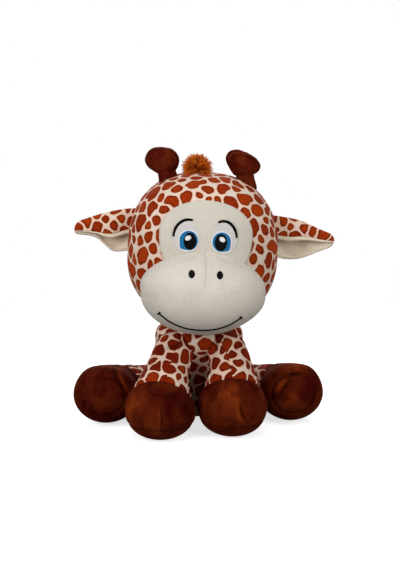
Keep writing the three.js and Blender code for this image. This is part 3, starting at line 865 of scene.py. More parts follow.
def thread_group() -> NodeTree:
    """Satin stitch: fine ridges of thread that run across a piece.

    Returns:
        The shader group's tree.
    """
    canvas, start, end = group_tree(
        "satin_stitch",
        [("Vector", "NodeSocketVector", (0, 0, 0)), ("Thread Scale", "NodeSocketFloat", 900.0)],
        [("Ridge", "NodeSocketFloat"), ("Uneven", "NodeSocketFloat")],
    )
    place = start.outputs["Vector"]
    feeds = {"Vector": place, "Scale": start.outputs["Thread Scale"], "Distortion": 1.5}
    wave = canvas.node("ShaderNodeTexWave", feeds, wave_type="BANDS", bands_direction="DIAGONAL")
    canvas.feed(end, {"Ridge": wave.outputs["Fac"], "Uneven": canvas.noise(place, 500.0, 2.0)})
    return canvas.tree


NAP = nap_group()
SPOTS = spot_group()
STITCHES = thread_group()
FIBRE_RANGE = (0.25, 0.75)
PILE_DEPTH_MM = 0.7
THREAD_DEPTH_MM = 0.25


def linear(hex_colour: int) -> tuple[float, float, float, float]:
    """Turns a colour into the linear values that nodes use.

    Args:
        hex_colour: The colour, written as 0xRRGGBB.

    Returns:
        Its red, green and blue, and an alpha of 1.
    """
    parts = [(hex_colour >> shift & 255) / 255 for shift in (16, 8, 0)]
    made = [c / 12.92 if c <= 0.04045 else ((c + 0.055) / 1.055) ** 2.4 for c in parts]
    return made[0], made[1], made[2], 1.0


class Finish:
    """A base for finishes: starts a material with object coordinates and a Principled shader."""

    label = "finish"

    def start(self) -> tuple[Material, Canvas, Node, NodeSocket]:
        """Makes the material.

        Returns:
            The material, its canvas, its Principled node and its object coordinates.
        """
        material = bpy.data.materials.new(self.label)
        material.use_nodes = True
        canvas = Canvas(material.node_tree)
        shader = canvas.node("ShaderNodeBsdfPrincipled")
        canvas.node("ShaderNodeOutputMaterial", {0: shader.outputs[0]})
        return material, canvas, shader, canvas.node("ShaderNodeTexCoord").outputs["Object"]

    def crushed(self, canvas: Canvas, depth: float) -> NodeSocket:
        """How much light is left under the painted shade that seams and creases get."""
        return canvas.spread(canvas.stored("pressed"), 0.0, 1.0, (1.0, 1.0 - depth))

    def raise_pile(
        self, canvas: Canvas, shader: Node, height: NodeSocket, strength: float, depth_mm: float
    ) -> None:
        """Feeds a height to the shader's normal."""
        feeds = {"Height": height, "Strength": strength, "Distance": depth_mm * MM}
        canvas.feed(shader, {"Normal": canvas.node("ShaderNodeBump", feeds).outputs[0]})


@dataclass(frozen=True)
class PrintedPlush(Finish):
    """Short cream pile with rust spots, a peach fringe round each and a darker rim inside it."""

    ground: int = 0xE6DACE
    fringe: int = 0xF5BF9F
    spot_deep: int = 0x5A1002
    spot_dark: int = 0x8C2403
    spot_light: int = 0xBA4407
    rim: int = 0x4A0C02
    rim_share: float = 0.85
    crush: float = 0.5
    sheen: float = 0.04
    shine: float = 0.07
    bump: float = 0.35
    label: str = "printed_plush"

    def build(self) -> Material:
        """Makes the material.

        Returns:
            The material.
        """
        material, canvas, shader, coordinates = self.start()
        nap = canvas.node("ShaderNodeGroup", {"Vector": coordinates}, node_tree=NAP).outputs
        shade = canvas.stored("spot_shade")
        feeds = {"Vector": coordinates, "Inside": canvas.stored("spot_inside")}
        spots = canvas.node("ShaderNodeGroup", feeds, node_tree=SPOTS).outputs
        ground = canvas.mix(spots["Fringe"], linear(self.ground), linear(self.fringe))
        halves = (canvas.math("MULTIPLY", part, 0.5) for part in (shade, nap["Clump"]))
        rust = canvas.mix(canvas.math("ADD", *halves), linear(self.spot_dark), linear(self.spot_light))
        rust = canvas.mix(canvas.spread(shade, -1.0, 0.0, (0.8, 0.0)), rust, linear(self.spot_deep))
        rust = canvas.mix(canvas.math("MULTIPLY", spots["Rim"], self.rim_share), rust, linear(self.rim))
        colour = canvas.mix(spots["Spot"], ground, rust)
        pile = canvas.spread(nap["Fibre"], *FIBRE_RANGE, (0.86, 1.06))
        # Painted shade in seams and creases darkens the pile.
        pile = canvas.math("MULTIPLY", pile, self.crushed(canvas, self.crush))
        looks = {
            "Base Color": canvas.mix(1.0, colour, pile, "MULTIPLY"),
            "Roughness": canvas.spread(nap["Brush"], 0.0, 1.0, (0.95, 0.8)),
            "Sheen Weight": self.sheen,
            "Sheen Roughness": 0.4,
            "Specular IOR Level": self.shine,
        }
        canvas.feed(shader, looks)
        self.raise_pile(canvas, shader, nap["Height"], self.bump, PILE_DEPTH_MM)
        return material


@dataclass(frozen=True)
class PlainPlush(Finish):
    """Short pile of one dye, lighter where it was brushed towards the light, with painted sheen and a painted
    highlight where the pieces store them, and painted shade in seams and creases.
    """

    deep: int = 0xCFC7BA
    pale: int = 0xE2DBD0
    brushed: int = 0xE6DFD4
    brush_share: float = 0.35
    brush_scale: float = 28.0
    sheen: float = 0.08
    bump: float = 0.3
    swirl: float = 0.3
    clump_share: float = 0.45
    shine: float = 0.06
    crush: float = 0.25
    label: str = "cream_plush"

    def build(self) -> Material:
        """Makes the material.

        Returns:
            The material.
        """
        material, canvas, shader, coordinates = self.start()
        feeds = {"Vector": coordinates, "Brush Scale": self.brush_scale, "Swirl": self.swirl}
        nap = canvas.node("ShaderNodeGroup", feeds, node_tree=NAP).outputs
        middle = 0.5 - self.clump_share / 2
        clump = canvas.spread(nap["Clump"], 0.0, 1.0, (middle, middle + self.clump_share))
        tone = canvas.mix(clump, linear(self.deep), linear(self.pale))
        # The pieces store painted sheen and a painted highlight, which lighten the pile towards its brushed
        # colour.
        painted_sheen = canvas.math("MULTIPLY", canvas.stored("stroked"), nap["Streak"])
        share = canvas.math("MULTIPLY", nap["Brush"], self.brush_share)
        tone = canvas.mix(canvas.math("ADD", share, painted_sheen, clamp=True), tone, linear(self.brushed))
        pile = canvas.spread(nap["Fibre"], *FIBRE_RANGE, (0.88, 1.06))
        # Painted shade in seams and creases darkens the pile.
        pile = canvas.math("MULTIPLY", pile, self.crushed(canvas, self.crush))
        looks = {
            "Base Color": canvas.mix(1.0, tone, pile, "MULTIPLY"),
            "Roughness": canvas.spread(nap["Brush"], 0.0, 1.0, (0.95, 0.78)),
            "Sheen Weight": self.sheen,
            "Sheen Roughness": 0.4,
            "Sheen Tint": linear(self.brushed),
            "Specular IOR Level": self.shine,
        }
        canvas.feed(shader, looks)
        self.raise_pile(canvas, shader, nap["Height"], self.bump, PILE_DEPTH_MM)
        return material


@dataclass(frozen=True)
class Thread(Finish):
    """Embroidery thread with a soft shine."""

    colour: int = 0x050404
    lit: int = 0x0E0C0B
    label: str = "black_thread"

    def build(self) -> Material:
        """Makes the material.

        Returns:
            The material.
        """
        material, canvas, shader, coordinates = self.start()
        stitch = canvas.node("ShaderNodeGroup", {"Vector": coordinates}, node_tree=STITCHES).outputs
        share = canvas.math("MULTIPLY", stitch["Ridge"], stitch["Uneven"])
        looks = {
            "Base Color": canvas.mix(share, linear(self.colour), linear(self.lit)),
            "Roughness": canvas.spread(stitch["Uneven"], 0.3, 0.7, (0.35, 0.6)),
            "Specular IOR Level": 0.04,
        }
        canvas.feed(shader, looks)
        self.raise_pile(canvas, shader, stitch["Ridge"], 0.4, THREAD_DEPTH_MM)
        return material


@dataclass(frozen=True)
class LongPile(Finish):
    """Loose long pile, with painted shade that darkens it towards its roots."""

    # The root colour is darkened with painted shade.
    root: int = 0x7E2204
    tip: int = 0xF28326
    label: str = "long_pile"

    def build(self) -> Material:
        """Makes the material.

        Returns:
            The material.
        """
        material, canvas, shader, coordinates = self.start()
        own = canvas.stored("own_shade")
        # Painted shade: each strand darkens from its tip towards its root.
        along = canvas.math("MULTIPLY", canvas.stored("along"), 0.7)
        share = canvas.math("ADD", along, canvas.math("MULTIPLY", own, 0.35))
        clump = canvas.spread(canvas.noise(coordinates, 130.0, 2.0), 0.35, 0.65, (0.55, 1.15))
        share = canvas.math("MULTIPLY", share, clump, clamp=True)
        looks = {
            "Base Color": canvas.mix(share, linear(self.root), linear(self.tip)),
            "Roughness": canvas.spread(own, 0.0, 1.0, (0.55, 0.75)),
            "Specular IOR Level": 0.06,
        }
        canvas.feed(shader, looks)
        return material


BROWN_PLUSH = PlainPlush(
    deep=0x2B0503, pale=0x460B07, brushed=0x8A3812, brush_share=0.28, brush_scale=34.0, sheen=0.1,
    bump=0.5, swirl=0.5, clump_share=1.0, shine=0.02, crush=0.7, label="brown_plush",
)
# The horns' copy of the brown plush is lighter and redder: painted sheen for the light that their pile
# catches on top of the head.
LIT_HORN_PLUSH = replace(
    BROWN_PLUSH, deep=0x360804, pale=0x54120B, brushed=0x8E3C18, brush_share=0.3, label="horn_plush"
)
# The lining is a brighter, warmer copy of the cream plush: painted light for the light that shines through
# the thin ear into its shaded fold.
LIT_LINING_PLUSH = PlainPlush(
    deep=0xEBD9BA, pale=0xF8EBD4, brushed=0xF6EEDF, clump_share=0.7, label="lining_plush"
)
GLINT_FINISH = Thread(0xE8E8EC, 0xF8F8F8, "bright_thread").build()
PATCH_FINISH = PlainPlush(deep=0xCBC4B6, pale=0xDAD3C6, brushed=0xDDD6CA, label="patch_plush").build()
LIT_LINING_FINISH = LIT_LINING_PLUSH.build()
LIT_HORN_FINISH = LIT_HORN_PLUSH.build()
FINISHES = {
    Slot.PRINT: PrintedPlush().build(),
    Slot.CREAM: PlainPlush().build(),
    Slot.BROWN: BROWN_PLUSH.build(),
    Slot.FUR: LongPile().build(),
    Slot.WHITE: Thread(0xD2CDCA, 0xDDD9D6, "white_thread").build(),
    Slot.BLUE: Thread(0x1B6C9E, 0x2E86B8, "blue_thread").build(),
    Slot.BLACK: Thread().build(),
}


def dressed(obj: Object, slot: Slot, nodes: Sequence[str], finish: Material | None = None) -> None:
    """Gives a piece its finish, picked by its slot, and hides the CAD nodes that it stands for.

    Args:
        obj: The piece.
        slot: Its material slot.
        nodes: The CAD nodes that it replaces.
        finish: Its material, where that isn't the slot's usual one.
    """
    obj.data.materials.clear()
    obj.data.materials.append(finish or FINISHES[slot])
    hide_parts(*nodes)


def finished(
    obj: Object, body: str, slot: Slot, nodes: Sequence[str], finish: Material | None = None
) -> Object:
    """Dresses a piece and lets it ride on a body.

    Args:
        obj: The piece.
        body: The CAD body that it rides on.
        slot: Its material slot.
        nodes: The CAD nodes that it replaces.
        finish: Its material, where that isn't the slot's usual one.

    Returns:
        The piece.
    """
    dressed(obj, slot, nodes, finish)
    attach(obj, body)
    LOG.info("%s rides on %s: %d faces", obj.name, body, len(obj.data.polygons))
    return obj


# Limbs


@dataclass(frozen=True)
class Limb:
    """A leg with its hoof and sole, swept along one curve; sizes in millimetres."""

    prefix: str
    side: Side
    curve: tuple[tuple[float, float, float], ...]
    up: tuple[float, float, float]
    radius: float
    depth: float
    fullness: float
    seam_share: float
    sole_share: float
    leg_shares: tuple[float, ...]
    hoof_shares: tuple[float, ...]
    flat_share: float = 1.0
    seam_rise: float = 0.0
    seam_drop: float = 0.0
    hoof_overhang: float = 0.7
    columns: int = 56
    length_mm: float = 95.0

    def middle(self, t: Array) -> Array:
        """Finds points of the limb's middle line.

        Args:
            t: Places along the line, from 0 to 1.

        Returns:
            A point for each place.
        """
        a, b, c, d = (np.array(p) for p in self.curve)
        t = np.asarray(t, float)[..., None]
        return a * (1 - t) ** 3 + 3 * b * t * (1 - t) ** 2 + 3 * c * t**2 * (1 - t) + d * t**3

    def heading(self, t: Array) -> Array:
        """Finds the directions of the middle line.

        Args:
            t: Places along the line, from 0 to 1.

        Returns:
            A unit direction for each place.
        """
        a, b, c, d = (np.array(p) for p in self.curve)
        t = np.asarray(t, float)[..., None]
        made = (b - a) * (1 - t) ** 2 + 2 * (c - b) * t * (1 - t) + (d - c) * t**2
        return made / np.linalg.norm(made, axis=-1)[..., None]

    def leg_radius(self, t: Array) -> Array:
        """The leg's radius along the curve, up to the ankle seam."""
        return self.radius * eased(self.leg_shares, t / self.seam_share)

    def hoof_radius(self, t: Array) -> Array:
        """The hoof's radius along the curve, from the ankle seam on."""
        return self.radius * eased(self.hoof_shares, (t - self.seam_share) / (1 - self.seam_share))

    def skin(self, t: Array, radii: Array, beyond: Array | float = 0.0) -> Array:
        """Rings of points round the middle line.

        Args:
            t: R x C places along the line.
            radii: R x C radii in millimetres.
            beyond: How far each point lies past its place, along the line's heading.

        Returns:
            R x C x 3 points.
        """
        centres, headings = self.middle(t), self.heading(t)
        across = np.cross(headings, np.array(self.up))
        across /= np.linalg.norm(across, axis=-1)[..., None]
        over = np.cross(across, headings)
        angle = circle(self.columns)
        return (
            centres
            + headings * np.asarray(beyond)[..., None]
            + over * (radii * self.flat_share * np.cos(angle))[..., None]
            + across * (radii * np.sin(angle))[..., None]
        )

    def seam(self) -> Array:
        """Where the hoof's seam lies along the line, at each column, as it rises over the front."""
        front = ((1 - np.cos(circle(self.columns))) / 2) ** 1.5
        return self.seam_share + self.seam_drop - self.seam_rise * front

    def radius_at(self, t: Array) -> Array:
        """The limb's radius at any place along the line."""
        return np.where(t < self.seam_share, self.leg_radius(t), self.hoof_radius(t))

    def wide(self, column: Array) -> Array:
        """Repeats one value for each row over all columns."""
        return np.repeat(np.asarray(column, float)[:, None], self.columns, 1)

    def turned_in(self, distance: Array, depth: float = 1.7, width: float = 1.3) -> Array:
        """How far cloth turns in towards a seam at a distance from it, in millimetres."""
        return depth * np.exp(-np.abs(distance) / width)

    def leg_rings(self) -> Array:
        """Draws the leg, from its root's pole to the ankle seam.

        Returns:
            R x C x 3 points.
        """
        base = self.leg_radius(np.array([0.0]))[0]
        angle = self.wide(np.linspace(0.06, math.pi / 2, 9)[:-1])
        back = self.skin(0 * angle, base * np.sin(angle), -base * np.cos(angle))
        share = np.concatenate([np.linspace(0, 0.93, 20), [0.96, 0.98, 0.993, 1.0]])
        t = self.wide(share) * self.seam()
        gap = (1 - self.wide(share)) * self.seam() * self.length_mm
        return np.concatenate([back, self.skin(t, self.radius_at(t) - self.turned_in(gap))])

    def hoof_rings(self) -> Array:
        """Draws the hoof, from the ankle seam to the sole's seam.

        Returns:
            R x C x 3 points.
        """
        share = np.concatenate([[0.004, 0.02, 0.045, 0.09], np.linspace(0.15, 1, 12)])
        t = self.seam() + self.wide(share) * (1 - self.seam())
        gap = self.wide(share) * (1 - self.seam()) * self.length_mm
        tube = self.skin(t, self.radius_at(t) + self.hoof_overhang - self.turned_in(gap, 2.2))
        inner = np.concatenate([np.linspace(0, 0.92, 8)[1:], [0.97, 0.99, 1.0]]) * self.sole_share
        turn = self.turned_in((self.sole_share - inner) * self.depth, 1.6, 1.1)
        return np.concatenate([tube, self.end_rings(inner, turn - self.hoof_overhang * (1 - inner))])

    def end_rings(self, shares: Array, less: Array) -> Array:
        """Rings of the rounded end, at shares of its depth."""
        radii = self.radius * np.maximum(1 - shares**self.fullness, 0) ** (1 / self.fullness) - less
        return self.skin(self.wide(np.ones(len(shares))), self.wide(radii), self.wide(shares * self.depth))

    def sole_rings(self) -> Array:
        """Draws the sole, from its seam to its middle.

        Returns:
            R x C x 3 points.
        """
        angle = np.concatenate([[0.004, 0.02, 0.05], np.linspace(0.1, 1, 10)]) * math.pi / 2
        shares = self.sole_share + (1 - self.sole_share) * np.sin(angle)
        edge = self.end_rings(shares, self.turned_in((shares - self.sole_share) * self.depth, 1.6, 1.1))
        centre = edge[-1].mean(0)
        flat = [centre + (edge[-2] - centre) * k for k in (0.75, 0.5, 0.25, 0.06)]
        return np.concatenate([edge[:-1], np.array(flat)])

    def clearance(self, points: Array, room: float) -> Array:
        """Tells how far points lie outside the leg.

        Args:
            points: N x 3 places in own millimetres.
            room: How much room the leg needs round it.

        Returns:
            Each point's distance less the room, which is below 0 where it is too near.
        """
        t = np.linspace(0, self.seam_share, 24)
        centres, radii = self.middle(t), self.leg_radius(t)
        gap = np.linalg.norm(points[:, None] - centres[None], axis=2) - radii[None] - room
        return gap.min(1)


@dataclass(frozen=True)
class Crease:
    """A soft crease seen from the front: middle, direction, half length, width and depth, in millimetres."""

    piece: str
    x: float
    z: float
    turn: float
    half: float
    width: float
    depth: float
    bow: float = 0.0


CREASES = (
    Crease("foreleg_right", -34, 127, 0.12, 14, 3.2, 2.6, 0.009),
    Crease("foreleg_left", 24, 130, 1.3, 12, 3.5, 2.0, 0.009),
    Crease("hindhoof_left", 161, 84, -0.7, 22, 16, -5.0),
    Crease("hindhoof_right", -158, 82, 0.7, 24, 16, -4.5),
    Crease("hindhoof_left", 138, 77, 0.08, 15, 2.0, 2.6, 0.004),
    Crease("hindhoof_left", 124, 60, 0.9, 12, 2.6, 0.9),
    Crease("hindhoof_right", -114, 69, -1.03, 16, 1.5, 1.3),
    Crease("forehoof_right", -51, 40, 1.57, 14, 1.5, 1.3),
    Crease("forehoof_left", 60, 44, 1.9, 13, 2.4, 0.8, 0.01),
)

# Patches of brushed brown pile, with painted sheen where light catches them: x, y and z, the reach, all in
# millimetres, and the strength
SHEEN_PATCHES_MM = (
    (-88, -150, 50, 20, 0.8),
    (-60, -172, 30, 14, 0.35),
    (46, -146, 72, 15, 0.75),
    (72, -150, 36, 16, 0.25),
    (20, -150, 45, 14, 0.3),
    (142, -40, 84, 22, 0.9),
    (178, -40, 50, 16, 0.7),
    (128, -84, 40, 14, 0.35),
    (-150, -60, 74, 15, 0.3),
    (-166, -60, 30, 16, 0.3),
)


@dataclass
class Legs:
    """The four limbs: each a printed leg, a brown hoof and a brown sole; sizes in millimetres."""

    fore_radius: float = 49
    hind_radius: float = 46.5
    fore_foot: tuple[tuple[float, float], tuple[float, float]] = ((47, 70), (54, 84))
    hind_foot: tuple[tuple[float, float], tuple[float, float]] = ((134, 8), (135, 20))
    hind_yaw_deg: float = 5
    hind_tilt_deg: float = 11
    fill_cap: float = 1.5
    limbs: list[Limb] = field(default_factory=list)

    def __post_init__(self) -> None:
        """Works out the four limbs from the toy's sizes."""
        for side, fore, hind in zip(Side, self.fore_foot, self.hind_foot):
            self.limbs += [self.fore_limb(side, *fore), self.hind_limb(side, *hind)]

    def fore_limb(self, side: Side, out: float, ahead: float) -> Limb:
        """Plans a foreleg, which hangs from the shoulder to the floor.

        Args:
            side: The giraffe's side.
            out: How far its hoof stands from the middle.
            ahead: How far its hoof stands in front of the neck.

        Returns:
            The limb.
        """
        s = side.value
        shoulder = np.array([2 + s * 38, -42, 113])
        hoof = np.array([s * out, -ahead, 39.5])
        lead = shoulder + np.array([s * 9, -13, -20])
        curve = (tuple(shoulder), tuple(lead), tuple(hoof + np.array([0, 0, 20])), tuple(hoof))
        return Limb(
            "fore", side, curve, up=(0, 1, 0), radius=self.fore_radius, depth=40, fullness=2.3,
            seam_share=0.66, sole_share=0.4, leg_shares=(0.58, 0.58, 0.59, 0.63, 0.69, 0.76, 0.83),
            hoof_shares=(0.83, 0.9, 0.955, 0.985, 1.0), seam_rise=0.15,
            seam_drop=0.01 if side is Side.LEFT else 0.1,
        )

    def hind_limb(self, side: Side, out: float, ahead: float) -> Limb:
        """Plans a hind leg, which lies on the floor with its sole to the front.

        Args:
            side: The giraffe's side.
            out: How far its hoof lies from the middle.
            ahead: How far its hoof lies in front of the neck.

        Returns:
            The limb.
        """
        s = side.value
        hip = np.array([s * 65, 42, 39])
        hoof = np.array([s * out, -ahead, 42])
        yaw, tilt = math.radians(self.hind_yaw_deg), math.radians(self.hind_tilt_deg)
        flat = math.cos(tilt)
        heading = np.array([s * math.sin(yaw) * flat, -math.cos(yaw) * flat, math.sin(tilt)])
        knee = hip + np.array([s * 32, 0, 0])
        curve = (tuple(hip), tuple(knee), tuple(hoof - heading * 32), tuple(hoof))
        return Limb(
            "hind", side, curve, up=(0, 0, 1), radius=self.hind_radius, depth=37, fullness=2.7,
            seam_share=0.46, sole_share=0.84, leg_shares=(0.7, 0.73, 0.76, 0.8, 0.84),
            hoof_shares=(0.85, 0.9, 0.96, 0.99, 1.0), flat_share=0.86,
        )

    def build(self) -> None:
        """Makes every limb's pieces."""
        for limb in self.limbs:
            self.build_leg(limb)
            self.build_hoof(limb)
            self.build_sole(limb)

    def floor_flat(self, obj: Object) -> None:
        """Flattens what stands below the floor."""
        points = points_of(obj)
        set_points(obj, np.column_stack([points[:, :2], np.maximum(points[:, 2], 0.0)]))

    def stroke(self, obj: Object, crease_highlight: Array) -> None:
        """Paints sheen on patches where the brown pile was brushed the other way, so that it looks lighter
        there.

        Args:
            obj: The brown piece.
            crease_highlight: The painted highlight that each point already has above its creases, from 0 to
                1.
        """
        points = points_of(obj) + wander(points_of(obj), 0.03, 3) * 0.006
        total = crease_highlight.copy()
        for x, y, z, reach, strength in SHEEN_PATCHES_MM:
            away = np.linalg.norm(points / MM - np.array([x, y, z]), axis=1)
            total += strength * bump_at(away, reach)
        add_values(obj, "stroked", np.clip(total, 0, 1))

    def build_leg(self, limb: Limb) -> None:
        """Makes one printed leg, between the torso and its own body.

        Args:
            limb: The limb that it belongs to.
        """
        body = f"{limb.prefix}leg_{limb.side.word}"
        rings = BODY_PLACE.out(limb.leg_rings())
        obj = stuffed_tube(f"{body}_cover", rings, (8, 4), self.fill_cap, side_seams=True)
        self.floor_flat(obj)
        self.crease(obj, limb, "leg")
        points = BODY_PLACE.into(points_of(obj))
        t = np.linspace(0, limb.seam_share, 60)
        nearest = np.argmin(np.linalg.norm(points[:, None] - limb.middle(t)[None], axis=2), axis=1)
        across = np.cross(limb.heading(t)[nearest], np.array(limb.up))
        side = np.einsum("nk,nk->n", points - limb.middle(t)[nearest], across)
        swell(obj, -bump_at(side, 0.9) * MM)
        seed = 11 + len(body) + limb.side.value
        spots = replace(SMALL_PRINT, softness_mm=3.0, shades=(-0.85, 0.05), seed=seed)
        spots.lay(obj, (side > 0).astype(int))
        dressed(obj, Slot.PRINT, [body])
        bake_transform(obj)
        LOG.info("%s bends between torso and %s", obj.name, body)

    def crease(self, obj: Object, limb: Limb, part: str) -> Array:
        """Presses the soft creases into a piece where the stuffing gives way, and paints shade into each
        crease and a highlight just above it.

        Args:
            obj: The piece.
            limb: The limb that it belongs to.
            part: "leg" or "hoof".

        Returns:
            The painted highlight just above each crease, from 0 to 1.
        """
        count = len(obj.data.vertices)
        pressed, crease_highlight = np.zeros(count), np.zeros(count)
        for made in CREASES:
            if made.piece != f"{limb.prefix}{part}_{limb.side.word}":
                continue
            points = points_of(obj)
            dx, dz = points[:, 0] / MM - made.x, points[:, 2] / MM - made.z
            along = dx * math.cos(made.turn) + dz * math.sin(made.turn)
            across = -dx * math.sin(made.turn) + dz * math.cos(made.turn) + made.bow * along**2
            reach = bump_at(along, made.half) * smooth_step(0.5, 0.0, normals_of(obj)[:, 1])
            swell(obj, -bump_at(across, made.width) * reach * made.depth * MM)
            # Painted shade in the crease, and a painted highlight just above it where light falls.
            if made.depth > 0:
                pressed += bump_at(across, made.width * 0.9) * reach
                crease_highlight += bump_at(across - 2.4 * made.width, 1.5 * made.width) * reach * 0.6
        add_values(obj, "pressed", np.clip(pressed, 0, 1))
        return np.clip(crease_highlight, 0, 1)

    def seam_line(self, obj: Object, limb: Limb, width_mm: float = 1.5, strength: float = 0.8) -> None:
        """Adds painted shade along the sole's seam to the painted shade of the creases.

        Args:
            obj: The hoof or the sole.
            limb: The limb that it belongs to.
            width_mm: How far from the seam the painted shade reaches.
            strength: How dark the painted shade is at the seam.
        """
        ring = BODY_PLACE.out(limb.end_rings(np.array([limb.sole_share]), np.array([1.6]))[0])
        steps = 4
        tree = KDTree(len(ring) * steps)
        ahead = np.roll(ring, -1, axis=0)
        for k in range(steps):
            for i, point in enumerate(ring + (ahead - ring) * k / steps):
                tree.insert(point, i)
        tree.balance()
        gap = np.array([tree.find(p)[2] for p in points_of(obj)]) / MM
        pressed = np.empty(len(gap), np.float32)
        obj.data.attributes["pressed"].data.foreach_get("value", pressed)
        add_values(obj, "pressed", np.clip(pressed + strength * bump_at(gap, width_mm), 0, 1))

    def dress_brown(self, obj: Object, limb: Limb, node: str) -> None:
        """Presses one of a limb's brown pieces, paints its shade and highlight at the creases, its shade at
        the seam and its sheen, and dresses it.

        Args:
            obj: The hoof or the sole.
            limb: The limb that it belongs to.
            node: The CAD node that it replaces.
        """
        self.floor_flat(obj)
        crease_highlight = self.crease(obj, limb, "hoof")
        self.seam_line(obj, limb)
        self.stroke(obj, crease_highlight)
        finished(obj, f"{limb.prefix}leg_{limb.side.word}", Slot.BROWN, [node])

    def build_hoof(self, limb: Limb) -> None:
        """Makes one brown hoof.

        Args:
            limb: The limb that it belongs to.
        """
        name = f"{limb.prefix}hoof_{limb.side.word}"
        rings = BODY_PLACE.out(limb.hoof_rings())
        obj = stuffed_tube(f"{name}_cover", rings, (4, 3), self.fill_cap)
        self.dress_brown(obj, limb, name)

    def build_sole(self, limb: Limb) -> None:
        """Makes one brown sole.

        Args:
            limb: The limb that it belongs to.
        """
        name = f"{limb.prefix}hoof_sole_{limb.side.word}"
        obj = subdivided(tube_mesh(f"{name}_cover", BODY_PLACE.out(limb.sole_rings())), 2)
        self.dress_brown(obj, limb, name)


# Torso, neck and tail


@dataclass
class Torso:
    """The printed body with its neck; sizes in millimetres, and shares from the seat to the neck."""

    legs: Legs
    half_width: float = 74.0
    half_depth: float = 60.0
    height: float = 147.0
    neck_radius: float = 46.0
    neck_back: float = -2.0
    chest_out: float = 14.0
    chest_height: float = 126.0
    leg_room: float = 0.5
    columns: int = 96
    shades: tuple[float, float] = (-0.7, 0.3)
    rises: tuple[float, ...] = (0, 0.025, 0.08, 0.17, 0.28, 0.4, 0.52, 0.64, 0.75, 0.85, 0.92, 0.97, 1)
    widths: tuple[float, ...] = (0.62, 0.79, 0.91, 0.98, 1, 0.98, 0.93, 0.88, 0.86, 0.86, 0.83, 0.73, 0.5)
    depths: tuple[float, ...] = (0.62, 0.79, 0.91, 0.98, 1, 0.98, 0.94, 0.89, 0.84, 0.79, 0.75, 0.67, 0.48)
    leans: tuple[float, ...] = (0, 0, 0.01, 0.03, 0.07, 0.17, 0.34, 0.56, 0.76, 0.92, 1, 1, 1)

    def rings(self) -> Array:
        """Draws the body from the seat to the neck.

        Returns:
            R x C x 3 points.
        """
        t = np.linspace(0, 1, 40)
        rise, width, depth, lean = (eased(s, t) for s in (self.rises, self.widths, self.depths, self.leans))
        back = SEAT_BACK_MM + (self.neck_back - SEAT_BACK_MM) * lean
        angle = circle(self.columns)
        x = self.half_width * width[:, None] * np.cos(angle)
        y = back[:, None] + self.half_depth * depth[:, None] * np.sin(angle)
        z = np.repeat((self.height * rise - 0.5)[:, None], self.columns, 1)
        y -= self.chest_out * bump_at(x, 32) * bump_at(z - self.chest_height, 22) * (np.sin(angle) < 0)
        return np.stack([x, y, z], -1)

    def clear_legs(self, points: Array) -> None:
        """Draws points that lie in a leg towards the body's core, until the leg has its room.

        Args:
            points: N x 3 places of the body, which it changes.
        """
        rise = np.clip(points[:, 2], 20, 110)
        core = np.column_stack([points[:, 0] * 0, points[:, 1] * 0 + 20, rise])
        for limb in self.legs.limbs:
            near = limb.clearance(points, self.leg_room) < 0
            for share in np.linspace(0.98, 0.1, 45):
                if not near.any():
                    break
                trial = core[near] + (points[near] - core[near]) * share
                clear = limb.clearance(trial, self.leg_room) >= 0
                members = np.flatnonzero(near)[clear]
                points[members] = trial[clear]
                near[members] = False

    def clear_neck(self, points: Array) -> None:
        """Sinks points that lie in the neck's ball to just under it.

        Args:
            points: N x 3 places of the body, which it changes.
        """
        flat = np.linalg.norm(points[:, :2], axis=1)
        room = self.neck_radius + 0.5
        under = NECK_HEIGHT_MM - np.sqrt(np.maximum(room**2 - flat**2, 0))
        points[:, 2] = np.where((flat < room) & (points[:, 2] > under), under, points[:, 2])

    def build(self) -> None:
        """Makes the body and the neck."""
        obj = stuffed_tube("torso_cover", BODY_PLACE.out(self.rings()), (2, 2), 2.0)
        points = BODY_PLACE.into(points_of(obj))
        points[:, 2] = np.maximum(points[:, 2], 0)
        self.clear_legs(points)
        self.clear_neck(points)
        set_points(obj, BODY_PLACE.out(points))
        behind = points[:, 1] > SEAT_BACK_MM * 0.4
        SpotPrint(shades=self.shades, seed=3).lay(obj, behind.astype(int) + 2 * (points[:, 0] > 0) * behind)
        finished(obj, "torso", Slot.PRINT, ["torso"])
        self.build_neck()

    def build_neck(self) -> None:
        """Makes the round printed neck that the head turns on."""
        directions, faces = ball_grid(44)
        middle = np.array([0, 0, NECK_HEIGHT_MM])
        obj = mesh_from("neck_cover", BODY_PLACE.out(directions * self.neck_radius + middle), faces)
        SpotPrint(shades=self.shades, seed=19).lay(obj)
        finished(obj, "neck", Slot.PRINT, ["neck_filling"])


